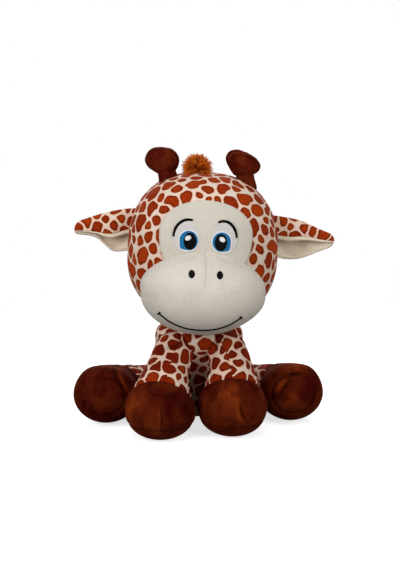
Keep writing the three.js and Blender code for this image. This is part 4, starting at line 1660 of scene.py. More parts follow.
@dataclass
class Tail:
    """The thin printed tail with its tassel; sizes in millimetres."""

    radius: float = 6.0
    sunk: float = 3.0
    root_height: float = 40.0
    tip_height: float = 11.0
    reach: float = 44.0
    aside: float = 16.0
    tassel_radius: float = 7.5
    tassel_length: float = 34.0
    tassel_shares: tuple[float, ...] = (0.5, 0.78, 0.97, 1.0, 0.86, 0.55, 0.2)

    def build(self) -> None:
        """Makes the tail's tube and its tassel."""
        root = np.array([0, SEAT_BACK_MM + Torso.half_depth - self.sunk, self.root_height])
        end = np.array([self.aside, root[1] + self.reach, self.tip_height])
        lead = root + np.array([0, self.reach / 2, 0])
        landing = np.array([self.aside / 2, end[1] - self.reach / 4, self.tip_height])
        curve = (tuple(root), tuple(lead), tuple(landing), tuple(end))
        tube = Limb(
            "tail", Side.LEFT, curve, up=(1, 0, 0), radius=self.radius, depth=6, fullness=2, seam_share=1.0,
            sole_share=0.9, leg_shares=(1, 1, 1), hoof_shares=(1, 1), columns=24,
        )
        t = tube.wide(np.linspace(0, 1, 30))
        obj = tube_mesh("tail_cover", BODY_PLACE.out(tube.skin(t, self.radius + 0 * t)))
        subdivided(obj, 1)
        SpotPrint(spacing_mm=14, line_mm=2.6, softness_mm=1.6, merge_share=0, seed=23).lay(obj)
        finished(obj, "tail", Slot.PRINT, ["tail"])
        t = tube.wide(np.linspace(0, 1, 16))
        radii = self.tassel_radius * eased(self.tassel_shares, t)
        rings = tube.skin(t * 0 + 1, radii, 0.35 + self.tassel_length * t)
        core = tube_mesh("tassel_core", BODY_PLACE.out(rings))
        pile = Pile(count=900, length_mm=9.0, radius_mm=0.28, lean=(0.25, 0.9, 0.0), seed=5)
        pile.grow(core, "tail_tassel_pile", "tail", ["tail_tassel"])


# Long pile and satin stitches


def instances(
    canvas: Canvas, points: NodeSocket, source: Object, turn: NodeSocket, scale: NodeSocket
) -> NodeSocket:
    """Plants a copy of a mesh on every point.

    Args:
        canvas: The tree's canvas.
        points: Where the copies stand.
        source: The object whose mesh is copied.
        turn: The rotation of each copy.
        scale: The size of each copy.

    Returns:
        The socket of the copies.
    """
    mesh = canvas.node("GeometryNodeObjectInfo", {"Object": source}, transform_space="ORIGINAL")
    feeds = {"Points": points, "Instance": mesh.outputs["Geometry"], "Rotation": turn, "Scale": scale}
    return canvas.node("GeometryNodeInstanceOnPoints", feeds).outputs[0]


def close_tree(canvas: Canvas, end: Node, copies: NodeSocket, slot: Slot) -> NodeTree:
    """Ends a tree: makes the copies real and gives them their material.

    Args:
        canvas: The tree's canvas.
        end: The tree's output node.
        copies: The socket of the copies.
        slot: The slot of their material.

    Returns:
        The tree.
    """
    real = canvas.node("GeometryNodeRealizeInstances", {0: copies}).outputs[0]
    painted = canvas.node("GeometryNodeSetMaterial", {"Geometry": real, "Material": FINISHES[slot]})
    canvas.feed(end, {"Geometry": painted.outputs[0]})
    return canvas.tree


def run_tree(obj: Object, tree: NodeTree, values: dict[str, object]) -> Object:
    """Runs a geometry tree on an object and turns the result into plain mesh.

    Args:
        obj: The object.
        tree: The tree.
        values: The tree's own inputs, by name.

    Returns:
        The same object.
    """
    modifier = obj.modifiers.new("planted", "NODES")
    modifier.node_group = tree
    sockets = {s.name: s.identifier for s in tree.interface.items_tree if s.in_out == "INPUT"}
    for name, value in values.items():
        modifier[sockets[name]] = value
    return applied(obj)


@dataclass(frozen=True)
class Pile:
    """Loose strands that grow from a core, made by geometry nodes."""

    count: int
    length_mm: float
    radius_mm: float
    lean: tuple[float, float, float]
    seed: int
    curl: float = 0.22
    stray: float = 0.55
    threads: int = 3
    spread: float = 0.07
    fan: float = 0.0
    fan_from: tuple[float, float, float] = (0.0, 0.0, 0.0)
    unevenness: float = 0.35
    taper: float = 0.55
    waver: float = 0.05

    def strand(self) -> Object:
        """One small lock of tapered, curling threads that points along +Z, one unit long.

        Returns:
            The new object.
        """
        steps, sides = 5, 3
        t = np.linspace(0, 1, steps)[:, None]
        angle = np.arange(sides)[None] * 2 * math.pi / sides
        radius = self.radius_mm / self.length_mm * (1 - self.taper * t)
        made = []
        for k in range(self.threads):
            turn = 2 * math.pi * k / self.threads
            gap = self.spread * (1 - 0.5 * t) * (self.threads > 1)
            sway, nod = self.waver * np.sin(5 * t + k), self.waver * np.cos(6 * t + 2 * k)
            x = radius * np.cos(angle) + self.curl * t * t + gap * math.cos(turn) + sway
            y = radius * np.sin(angle) + gap * math.sin(turn) + nod
            z = np.repeat(t * (1 - 0.12 * k / self.threads), sides, 1)
            made.append(tube_mesh("strand", np.stack([x, y, z], -1)))
        obj = joined(made[0], made[1:])
        add_values(obj, "along", points_of(obj)[:, 2])
        return obj

    def tree(self, strand: Object) -> NodeTree:
        """Builds the node tree that scatters, turns, scales and joins the strands.

        Args:
            strand: The lock that is repeated.

        Returns:
            The tree.
        """
        inputs = [
            ("Geometry", "NodeSocketGeometry", None),
            ("Count", "NodeSocketInt", self.count),
            ("Length", "NodeSocketFloat", self.length_mm * MM),
            ("Unevenness", "NodeSocketFloat", self.unevenness),
            ("Lean", "NodeSocketVector", self.lean),
            ("Fan", "NodeSocketFloat", self.fan),
            ("Fan From", "NodeSocketVector", self.fan_from),
            ("Seed", "NodeSocketInt", self.seed),
        ]
        made = group_tree("long_pile", inputs, [("Geometry", "NodeSocketGeometry")], "GeometryNodeTree")
        canvas, start, end = made
        given = start.outputs
        core = given["Geometry"]
        face = canvas.node("GeometryNodeInputMeshFaceArea").outputs[0]
        feeds = {"Geometry": core, "Attribute": face}
        area = canvas.node("GeometryNodeAttributeStatistic", feeds, domain="FACE", data_type="FLOAT")
        density = canvas.math("DIVIDE", given["Count"], area.outputs["Sum"])
        feeds = {"Mesh": core, "Density": density, "Seed": given["Seed"]}
        scatter = canvas.node("GeometryNodeDistributePointsOnFaces", feeds, distribute_method="RANDOM")
        place = canvas.node("GeometryNodeInputPosition").outputs[0]
        away = canvas.vector("SUBTRACT", place, given["Fan From"])
        plain = canvas.vector("NORMALIZE", away)
        fanned = canvas.vector("MULTIPLY_ADD", plain, given["Fan"], scatter.outputs["Normal"])
        drift = canvas.drawn((-self.stray,) * 3, (self.stray,) * 3, given["Seed"])
        leaned = canvas.vector("ADD", canvas.vector("ADD", fanned, drift), given["Lean"])
        align = canvas.node("FunctionNodeAlignRotationToVector", {"Vector": leaned}, axis="Z").outputs[0]
        spin = canvas.drawn((0, 0, 0), (0, 0, 2 * math.pi))
        turn = canvas.node("FunctionNodeRotateRotation", {0: align, 1: spin}, rotation_space="LOCAL")
        size = canvas.drawn(canvas.math("SUBTRACT", 1.0, given["Unevenness"]), 1.0)
        scale = canvas.math("MULTIPLY", size, given["Length"])
        planted = instances(canvas, scatter.outputs["Points"], strand, turn.outputs[0], scale)
        feeds = {"Geometry": planted, "Name": "own_shade", "Value": canvas.drawn(0.0, 1.0)}
        shade = canvas.node("GeometryNodeStoreNamedAttribute", feeds, data_type="FLOAT", domain="INSTANCE")
        return close_tree(canvas, end, shade.outputs[0], Slot.FUR)

    def grow(self, core: Object, name: str, body: str, nodes: Sequence[str]) -> Object:
        """Grows the strands and joins them with their core as one piece.

        Args:
            core: The mesh that the strands grow from, which becomes part of the piece.
            name: The piece's name.
            body: The CAD body that it rides on.
            nodes: The CAD nodes that it replaces.

        Returns:
            The piece.
        """
        strand = self.strand()
        carrier = placed(name, core.data.copy())
        run_tree(carrier, self.tree(strand), {"Count": self.count, "Seed": self.seed})
        laid = points_of(carrier)
        laid[:, 2] = np.maximum(laid[:, 2], 0.5 * MM)
        set_points(carrier, laid)
        add_values(core, "along", np.zeros(len(core.data.vertices)))
        add_values(core, "own_shade", np.full(len(core.data.vertices), 0.2))
        core.data.materials.clear()
        core.data.materials.append(FINISHES[Slot.FUR])
        bpy.data.objects.remove(strand)
        return finished(joined(carrier, [core]), body, Slot.FUR, nodes)


@dataclass(frozen=True)
class Satin:
    """A row of satin stitches across a line, made by geometry nodes."""

    spacing_mm: float = 0.55
    thread_mm: float = 0.36
    dip_mm: float = 0.35
    unevenness: float = 0.1
    sides: int = 6
    seed: int = 3

    def stitch(self) -> Object:
        """One stitch: a thread along X, one unit to each side, that dips at its ends.

        Returns:
            The new object.
        """
        x = np.array([-1.0, -0.85, -0.4, 0.4, 0.85, 1.0])[:, None]
        wide = self.thread_mm * np.array([0.25, 0.8, 1.0, 1.0, 0.8, 0.25])[:, None]
        angle = np.arange(self.sides) * math.pi / 3
        y = wide * np.cos(angle) * MM
        z = (wide * np.sin(angle) - self.dip_mm * np.abs(x) ** 3) * MM
        return tube_mesh("stitch", np.stack([np.repeat(x, self.sides, 1), y, z], -1))

    def tree(self, stitch: Object, slot: Slot) -> NodeTree:
        """Builds the node tree that sets the stitches along the line.

        Args:
            stitch: The stitch that is repeated.
            slot: The thread's material slot.

        Returns:
            The tree.
        """
        inputs = [
            ("Geometry", "NodeSocketGeometry", None),
            ("Spacing", "NodeSocketFloat", self.spacing_mm * MM),
            ("Unevenness", "NodeSocketFloat", self.unevenness),
            ("Seed", "NodeSocketInt", self.seed),
        ]
        made = group_tree("satin_row", inputs, [("Geometry", "NodeSocketGeometry")], "GeometryNodeTree")
        canvas, start, end = made
        given = start.outputs
        curve = canvas.node("GeometryNodeMeshToCurve", {"Mesh": given["Geometry"]}).outputs[0]
        feeds = {"Curve": curve, "Length": given["Spacing"]}
        spaced = canvas.node("GeometryNodeResampleCurve", feeds, mode="LENGTH").outputs[0]
        places = canvas.node("GeometryNodeCurveToPoints", {"Curve": spaced}, mode="EVALUATED")
        named = "GeometryNodeInputNamedAttribute"
        across = canvas.node(named, {"Name": "across"}, data_type="FLOAT_VECTOR").outputs[0]
        reach = canvas.node(named, {"Name": "reach"}, data_type="FLOAT").outputs[0]
        align = canvas.node("FunctionNodeAlignRotationToVector", {"Vector": across}, axis="X").outputs[0]
        low = canvas.math("SUBTRACT", 1.0, given["Unevenness"])
        uneven = canvas.drawn(low, canvas.math("ADD", 1.0, given["Unevenness"]), given["Seed"])
        feeds = {0: canvas.math("MULTIPLY", reach, uneven), 1: 1.0, 2: 1.0}
        size = canvas.node("ShaderNodeCombineXYZ", feeds).outputs[0]
        planted = instances(canvas, places.outputs["Points"], stitch, align, size)
        return close_tree(canvas, end, planted, slot)

    def sew(self, name: str, spine: Array, across: Array, reach_mm: Array, slot: Slot) -> Object:
        """Sews a row of stitches.

        Args:
            name: The new object's name.
            spine: N x 3 places along the row, in metres.
            across: N x 3 directions of the stitches.
            reach_mm: Half the length of the stitch at each place.
            slot: The thread's material slot.

        Returns:
            The stitches as a plain mesh.
        """
        mesh = bpy.data.meshes.new(name)
        mesh.from_pydata([tuple(p) for p in spine], [(i, i + 1) for i in range(len(spine) - 1)], [])
        obj = placed(name, mesh)
        add_values(obj, "reach", reach_mm * MM)
        layer = mesh.attributes.new("across", "FLOAT_VECTOR", "POINT")
        layer.data.foreach_set("vector", across.astype(np.float32).ravel())
        stitch = self.stitch()
        run_tree(obj, self.tree(stitch, slot), {"Spacing": self.spacing_mm * MM})
        bpy.data.objects.remove(stitch)
        return obj


# Head


@dataclass(frozen=True)
class Ground:
    """A finished surface that carries sewn pieces, with places in millimetres from its form's middle."""

    form: Form
    rise: Array
    tree: BVHTree

    @classmethod
    def over(cls, obj: Object, points: Array, form: Form, rise: Array) -> "Ground":
        """Makes a finished piece ready to carry what is sewn to it.

        Args:
            obj: The piece.
            points: Its points in the head's own millimetres.
            form: The form that it was filled to.
            rise: The form's middle in the head's frame.

        Returns:
            Its surface.
        """
        polygons = [p.vertices for p in obj.data.polygons]
        return cls(form, rise, BVHTree.FromPolygons([Vector(p) for p in points], polygons))

    def lay(self, x: Array, z: Array, lift: Array) -> Array:
        """Sets points on the surface, seen from the front, and lifts them off it.

        Args:
            x: Places to the giraffe's left.
            z: Places above the form's middle.
            lift: How far off the surface each point is.

        Returns:
            The points in the head's own millimetres.
        """
        places, normals = self.form.front_at(x, z)
        made = np.empty(x.shape + (3,))
        for index in np.ndindex(x.shape):
            start = Vector((x[index] + self.rise[0], -400, z[index] + self.rise[2]))
            hit = self.tree.ray_cast(start, Vector((0, 1, 0)))[0]
            base = np.array(hit) if hit is not None else places[index] + self.rise
            made[index] = base + normals[index] * lift[index]
        return made

    def piece(self, name: str, x: Array, z: Array, crown: Array, low: float, wrap: bool) -> Object:
        """A thin piece that lies on the surface.

        Args:
            name: The object's name.
            x: R x C places to the giraffe's left.
            z: R x C places above the form's middle.
            crown: R x C lifts of its top.
            low: The lift that its underside stays just under.
            wrap: True where the columns close round.

        Returns:
            The new object.
        """
        top = self.lay(x, z, crown)
        bottom = self.lay(x, z, np.full(x.shape, low - 0.05))
        return slab_mesh(name, HEAD_PLACE.out(top), HEAD_PLACE.out(bottom), wrap)

    def disc(
        self,
        name: str,
        centre: tuple[float, float],
        outline: Outline,
        lifts: tuple[float, float],
        edge_mm: float,
        size_mm: float,
        columns: int = 64,
        rows: int = 14,
    ) -> Object:
        """A flat shape laid on the surface, with a rounded edge.

        Args:
            name: The object's name.
            centre: The shape's middle.
            outline: The shape's edge, from its middle, at an angle.
            lifts: The lift of its underside and of its top.
            edge_mm: The width of the rounded edge.
            size_mm: The shape's typical half size.
            columns: Points round the shape.
            rows: Points from the middle out.

        Returns:
            The new object.
        """
        low, high = lifts
        ox, oz = outline(circle(columns))
        edge_share = edge_mm / size_mm
        rounding = 1 - edge_share * np.array([0.6, 0.3, 0.1, 0.0])
        share = np.concatenate([np.linspace(0, 1 - edge_share, rows), rounding])
        near_edge = np.clip((1 - share) * size_mm / edge_mm, 0, 1)
        crown = low + (high - low) * np.sqrt(1 - (1 - near_edge) ** 2)
        x = centre[0] + share[:, None] * ox
        z = centre[1] + share[:, None] * oz
        return self.piece(name, x, z, np.repeat(crown[:, None], columns, 1), low, True)

    def line(self, name: str, path: Array, half_width: Array, lifts: tuple[float, float]) -> Object:
        """A sewn line laid on the surface.

        Args:
            name: The object's name.
            path: N x 2 places along the line.
            half_width: Its half width at each place.
            lifts: The lift of its underside and of its top.

        Returns:
            The new object.
        """
        low, high = lifts
        along = np.gradient(path, axis=0)
        along /= np.linalg.norm(along, axis=1)[:, None]
        across = np.column_stack([-along[:, 1], along[:, 0]])
        offset = np.array([-1.0, -0.85, -0.5, 0, 0.5, 0.85, 1.0])
        x = path[:, 0, None] + across[:, 0, None] * half_width[:, None] * offset
        z = path[:, 1, None] + across[:, 1, None] * half_width[:, None] * offset
        crown = low + (high - low) * np.sqrt(1 - offset**2)
        return self.piece(name, x, z, np.repeat(crown[None], len(path), 0), low, False)

    def satin(self, name: str, path: Array, half_width: Array, lift: float) -> Object:
        """Satin stitches over a line on the surface.

        Args:
            name: The object's name.
            path: N x 2 places along the line.
            half_width: Half the stitch's length at each place.
            lift: How far off the surface the stitches lie.

        Returns:
            The new object.
        """
        spine = self.lay(path[:, 0], path[:, 1], lift + 0 * path[:, 0])
        along = np.gradient(path, axis=0)
        flat = np.column_stack([-along[:, 1], 0 * along[:, 0], along[:, 0]])
        flat /= np.linalg.norm(flat, axis=1)[:, None]
        across = flat @ np.array(HEAD_PLACE.matrix)[:3, :3].T
        return Satin().sew(name, HEAD_PLACE.out(spine), across, half_width, Slot.BLACK)


def rounded(angle: Array, half_width: float, half_height: float, fullness: Array | float = 2.0) -> Pair:
    """The edge of an oval.

    Args:
        angle: The angles at which it is wanted.
        half_width: The oval's half width.
        half_height: The oval's half height.
        fullness: 2 for a plain oval, and more for one that is squared off.

    Returns:
        The edge's places, across and up.
    """
    power = 2 / fullness
    x = np.sign(np.cos(angle)) * np.abs(np.cos(angle)) ** power * half_width
    z = np.sign(np.sin(angle)) * np.abs(np.sin(angle)) ** power * half_height
    return x, z


def oval(half_width: float, half_height: float, tilt: float = 0.0) -> Outline:
    """A plain oval outline.

    Args:
        half_width: Its half width.
        half_height: Its half height.
        tilt: How far it is turned, in radians.

    Returns:
        The outline, as the place of its edge at an angle.
    """

    def edge(angle: Array) -> Pair:
        """The edge at an angle."""
        x, z = rounded(angle, half_width, half_height)
        return x * math.cos(tilt) - z * math.sin(tilt), x * math.sin(tilt) + z * math.cos(tilt)

    return edge


def iris_edge(half_width: float, half_height: float, outwards: int) -> Outline:
    """The iris's outline: round, but squarer at its lower outer corner.

    Args:
        half_width: Its half width.
        half_height: Its half height.
        outwards: The sign of X away from the nose.

    Returns:
        The outline, as the place of its edge at an angle.
    """
    corner_angle = math.pi * (1.25 if outwards < 0 else 1.75)

    def edge(angle: Array) -> Pair:
        """The edge at an angle."""
        corner = bump_at(np.angle(np.exp(1j * (angle - corner_angle))), 0.75)
        return rounded(angle, half_width, half_height, 2 + 2.2 * corner)

    return edge


def panel_edge(angle: Array) -> Pair:
    """The outline of the cream panel: a low arch over a deeper bag.

    Args:
        angle: The angles at which it is wanted.

    Returns:
        The edge's places, across and up.
    """
    half_width, arch, bag = 63.5, 44, 66
    across, over = rounded(angle, 1, 1, 2.3)
    wide, tall = rounded(angle, 1, 1, 2.06)
    upper = over > 0
    return np.where(upper, wide, across) * half_width, np.where(upper, tall * arch, over * bag)


@dataclass(frozen=True)
class Eye:
    """One embroidered eye: white, iris, pupil, glint and brow; sizes in millimetres."""

    side: Side
    ground: Ground
    moves: tuple[float, float, float, float]
    brow_angles: tuple[float, float]
    brow_middle: float
    brow_reach: float
    brow_foot: float = 35.6
    brow_rise: float = 22.8
    brow_width: float = 1.95
    brow_shares: tuple[float, ...] = (0.68, 0.95, 1, 0.95, 0.68)
    iris_place: tuple[float, float] = (22.6, 31.6)
    glint_tilt_deg: float = 30
    edge: float = 0.7

    def build(self) -> None:
        """Makes the layers from the white outwards, and the brow."""
        s = self.side.value
        tilt = -s * math.radians(self.glint_tilt_deg)
        iris_x, iris_z = self.iris_place
        layers = (
            ("eye_white", 24.8, 35.8, oval(17.6, 21.2), Slot.WHITE, (2.5, 3.0), 17),
            ("iris", iris_x, iris_z, iris_edge(12.3, 12.7, s), Slot.BLUE, (3.1, 3.6), 12),
            ("pupil", 21.6, 30.9, oval(8.4, 11.2), Slot.BLACK, (3.7, 4.1), 9),
            ("glint", 23.8, 34.8, oval(4.3, 3.1, tilt), Slot.WHITE, (4.2, 4.6), 3.5),
        )
        for (label, x, z, outline, slot, lifts, size), move in zip(layers, self.moves):
            name = f"{label}_{self.side.word}"
            centre = (s * (x + move), z)
            obj = self.ground.disc(f"{name}_stitched", centre, outline, lifts, self.edge, size)
            if label == "glint":
                ring, middle = iris_edge(13.6, 14.0, s), (s * (iris_x + self.moves[1]), iris_z)
                joined(obj, [self.ground.disc("iris_ring", middle, ring, (2.9, 3.25), 0.5, 13)])
            finished(obj, "head", slot, [name], GLINT_FINISH if label == "glint" else None)
        self.build_brow()

    def build_brow(self) -> None:
        """Makes the brow: a low arc with satin stitches across it."""
        t = np.linspace(0, 1, 40)
        first, last = self.brow_angles
        angle = np.radians(first + (last - first) * t)
        across = self.side.value * (self.brow_middle - self.brow_reach * np.cos(angle))
        path = np.column_stack([across, self.brow_foot + self.brow_rise * np.sin(angle)])
        width = self.brow_width * eased(self.brow_shares, t)
        name = f"brow_{self.side.word}"
        obj = self.ground.line(f"{name}_stitched", path, width, (2.7, 3.8))
        satin = self.ground.satin("brow_satin", path, width, 3.7)
        finished(joined(obj, [satin]), "head", Slot.BLACK, [name])


@dataclass(frozen=True)
class Ear:
    """One folded ear: a printed layer, and a cream lining that turns over its edges; in millimetres."""

    side: Side
    length: float
    sag: float
    droop: float
    upper: tuple[float, ...]
    lower: tuple[float, ...]
    curl: tuple[float, ...] = (0.5, 0.76, 0.96, 0.9, 0.72, 0.54, 0.4, 0.3)
    half_height: float = 31
    half_depth: float = 10
    rise: float = 27
    closing_from: float = 0.9
    closing_length: float = 0.1

    def roots(self) -> Array:
        """How far out the head's side lies at the ear's lower and upper edge."""
        rises = np.array([self.rise - self.half_height, self.rise + self.half_height])
        return HEAD_FORM.half_width * HEAD_FORM.left_at(np.maximum(rises, 0) / HEAD_FORM.upper) + 1

    def grid(self, u: Array, v: Array, offset: Array) -> Array:
        """One face of a layer.

        Args:
            u: R x 1 places from the root to the tip.
            v: Places round the fold, from the upper front edge to the lower one.
            offset: How far each point lies off the ear's middle surface.

        Returns:
            R x C x 3 points.
        """
        closing = self.closing(u)
        angle = math.radians(-90) - math.radians(270) * v
        shares = np.where(np.sin(angle) > 0, eased(self.upper, u), eased(self.lower, u))
        height = self.half_height * shares * closing
        depth = self.half_depth * eased(self.curl, u) * (0.35 + 0.65 * closing)
        rise = self.rise + np.sin(angle) * height
        lower, upper = self.roots()
        foot = self.rise - self.half_height
        root = lower + (rise - foot) / (2 * self.half_height) * (upper - lower)
        tip = self.roots().mean() + self.length + 4
        out_x, out_z = np.cos(angle) / depth, np.sin(angle) / height
        norm = np.hypot(out_x, out_z)
        x = self.side.value * (root + (tip - root) * u)
        y = -(depth * np.cos(angle) + out_x / norm * offset)
        z = HEAD_RISE[2] + rise - self.droop * u * u + out_z / norm * offset
        return np.stack([x, y, z + 0 * x], -1)

    def closing(self, u: Array) -> Array:
        """How far the ear is still open, as it closes round its tip."""
        share = np.clip((u - self.closing_from) / self.closing_length, 0, 1)
        return np.sqrt(1 - share**2) * 0.96 + 0.04

    def build(self) -> None:
        """Makes both layers, between the head and the ear's own body."""
        s = self.side.value
        tip_steps = self.closing_from + self.closing_length * np.sin(np.linspace(0.08, 1, 10) * math.pi / 2)
        u = np.concatenate([np.linspace(-0.09, self.closing_from, 46), tip_steps])[:, None]
        fold = 1 + self.sag * bump_at(u - 0.5, 0.3) - 0.02 * (1 - smooth_step(0, 0.3, u))
        share = np.linspace(0, 1, 72)[None]
        start_v = 0.012
        print_v = start_v + share * (fold - start_v)
        lining_v = -start_v + share * (fold + 0.05 * (0.35 + 0.65 * self.closing(u)) + start_v)
        first_edge = 1 - smooth_step(0.0, 0.02, lining_v + start_v)
        edge = np.maximum(first_edge, smooth_step(-0.006, 0.012, lining_v - fold))
        soft = np.sin(u * 19 + lining_v * 14) * smooth_step(0.02, 0.12, lining_v) * smooth_step(0.95, 0.6, u)
        layers = (
            ("ear_outer", Slot.PRINT, print_v, 1.8 + 0 * print_v, 0 * print_v),
            ("ear_lining", Slot.CREAM, lining_v, -0.4 + 2.0 * edge, -2.4 + 0.5 * edge - 0.8 * soft),
        )
        for label, slot, v, high, low in layers:
            name = f"{label}_{self.side.word}"
            outer, inner = (HEAD_PLACE.out(self.grid(u, v, offset)) for offset in (high, low))
            obj = subdivided(slab_mesh(f"{name}_cover", outer, inner, False), 1)
            if slot is Slot.PRINT:
                replace(SMALL_PRINT, seed=31 + s).lay(obj)
            dressed(obj, slot, [name], LIT_LINING_FINISH if slot is Slot.CREAM else None)
            f"ear_{self.side.word}"
            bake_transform(obj)
            LOG.info("%s bends between head and ear", obj.name)


@dataclass(frozen=True)
class Ossicone:
    """One short horn: a stem and a padded knob; sizes in millimetres."""

    side: Side
    lean_deg: float
    stem_shift: float
    seam: float
    outline: tuple[tuple[float, float], ...]
    out_share: float = 0.523
    knob_depth: float = 18.5
    knob_grow: float = 1.03
    smoothing: float = 0.12
    stem_radius: float = 12.9
    stem_flare: float = 2.4
    stem_ends: tuple[float, float] = (-10, 12.5)

    def edge(self) -> tuple[Array, Array, Array]:
        """Smooths the knob's outline.

        Returns:
            Its middle, the angles round it and its reach at each.
        """
        corners = np.array(self.outline)
        centre = (corners.min(0) + corners.max(0)) / 2
        steps = np.linspace(0, 1, 12, endpoint=False)[:, None, None]
        outline = (corners + (np.roll(corners, -1, axis=0) - corners) * steps).reshape(-1, 2)
        spokes = (outline - centre) * self.knob_grow
        turns = np.arctan2(spokes[:, 1], spokes[:, 0])
        angles = np.linspace(-math.pi, math.pi, 256, endpoint=False)
        lengths = np.hypot(spokes[:, 0], spokes[:, 1])
        waves = np.fft.rfft(np.interp(angles, turns, lengths, period=2 * math.pi))
        kept = np.exp(-((np.arange(len(waves)) * self.smoothing) ** 2) / 2)
        return centre, angles, np.fft.irfft(waves * kept)

    def build(self) -> None:
        """Makes the knob and the stem."""
        self.build_knob()
        self.build_stem()

    def build_knob(self) -> None:
        """Makes the padded knob with the seam inside its top edge, painted shade in the seam and a painted
        highlight above it.
        """
        centre, angles, reach = self.edge()
        directions, faces = ball_grid(26)
        around = np.interp(np.arctan2(directions[:, 2], directions[:, 0]), angles, reach, period=2 * math.pi)
        x, y, z = directions.T
        places = np.column_stack([x * around, y * self.knob_depth, z * around])
        obj = mesh_from(f"ossicone_knob_{self.side.word}_cover", places * MM, faces)
        Stuffing(0.8).fill(obj, bump_at(points_of(obj)[:, 1] / MM, 2.5) > 0.4)
        subdivided(obj, 1)
        own = points_of(obj) / MM
        angle = np.arctan2(own[:, 2], own[:, 0])
        share = np.hypot(own[:, 0], own[:, 2]) / np.interp(angle, angles, reach, period=2 * math.pi)
        front = smooth_step(-5, -9, own[:, 1]) * smooth_step(-0.1, 0.35, np.sin(angle))
        pucker = 0.2 * np.sin(angle * 19 + 2 * np.sin(angle * 5)) * bump_at(share - self.seam, 0.1)
        groove = 0.5 * bump_at(share - self.seam - 0.07, 0.06) - 0.7 * bump_at(share - self.seam, 0.022)
        swell(obj, (groove + pucker) * front * MM)
        # Painted highlight on a band above the seam, on the front and the inner side, and painted shade in
        # the seam itself.
        inner_side = smooth_step(0.6, -0.4, np.cos(angle))
        stroked = bump_at(share - self.seam - 0.06, 0.05) * front * inner_side
        add_values(obj, "stroked", np.clip(stroked, 0, 1) * 0.4)
        add_values(obj, "pressed", np.clip(bump_at(share - self.seam, 0.03) * front, 0, 1) * 0.8)
        own = points_of(obj) / MM
        set_points(obj, HEAD_PLACE.out(own + np.array([centre[0], 0, centre[1]])))
        body, node = f"ossicone_{self.side.word}", f"ossicone_knob_{self.side.word}"
        finished(obj, body, Slot.BROWN, [node], LIT_HORN_FINISH)

    def build_stem(self) -> None:
        """Makes the short stem under the knob."""
        x = self.side.value * HEAD_FORM.half_width * self.out_share
        crown = HEAD_FORM.upper * HEAD_FORM.left_at(abs(x / HEAD_FORM.half_width))
        foot = np.array([x, 0, HEAD_RISE[2] + crown - 1])
        lean = math.radians(self.lean_deg)
        angle = circle(72)
        t = np.linspace(*self.stem_ends, 24)
        flare = self.stem_flare * smooth_step(9, -8, t)
        wide = (self.stem_radius + flare - 0.9 * bump_at(t - 11.5, 1.6))[:, None]
        wide = wide + 0.5 * np.sin(angle * 7)[None] * bump_at(t - 9, 5)[:, None]
        y = wide * np.sin(angle)[None] * 0.95
        stem = np.stack([wide * np.cos(angle)[None], y, np.repeat(t[:, None], 72, 1)], -1)
        stem[..., 0] += self.stem_shift
        c, n = math.cos(lean), math.sin(lean)
        stem = stem @ np.array([[c, 0, n], [0, 1, 0], [-n, 0, c]]).T + foot
        obj = tube_mesh(f"ossicone_stem_{self.side.word}_cover", HEAD_PLACE.out(stem))
        body, node = f"ossicone_{self.side.word}", f"ossicone_stem_{self.side.word}"
        finished(obj, body, Slot.BROWN, [node], LIT_HORN_FINISH)


EARS = (
    Ear(
        Side.LEFT, length=81, sag=-0.036, droop=2.2,
        upper=(0.93, 0.89, 0.84, 0.76, 0.62, 0.46, 0.33, 0.23),
        lower=(0.95, 1.0, 0.99, 0.91, 0.76, 0.57, 0.39, 0.25),
    ),
    Ear(
        Side.RIGHT, length=76, sag=0.05, droop=4.0,
        upper=(0.96, 0.92, 0.85, 0.76, 0.66, 0.54, 0.42, 0.32),
        lower=(0.95, 1.0, 0.95, 0.68, 0.38, 0.24, 0.18, 0.14),
    ),
)

# Each knob's outline stands in the head's own frame, and its seam at a share of the way to it
OSSICONES = (
    Ossicone(
        Side.LEFT, lean_deg=-9, stem_shift=0.0, seam=0.76,
        outline=(
            (43, 238.5), (31.3, 236.5), (26.4, 227.9), (26.6, 223.7), (30.1, 216), (39.3, 202.6),
            (53.6, 201.2), (66.6, 205.3), (73.6, 209.9), (76.6, 218.3), (68.8, 228.1), (56.4, 234.6),
        ),
    ),
    Ossicone(
        Side.RIGHT, lean_deg=-17, stem_shift=3.0, seam=0.9,
        outline=(
            (-65.2, 236.8), (-74.8, 235.8), (-81.7, 232.1), (-86.4, 224.6), (-88.2, 216.4), (-81.9, 207.6),
            (-68.3, 199.8), (-54.5, 200), (-43.6, 205.9), (-40.4, 213.9), (-39.7, 221.7), (-43.5, 229.1),
            (-50.9, 235.2),
        ),
    ),
)


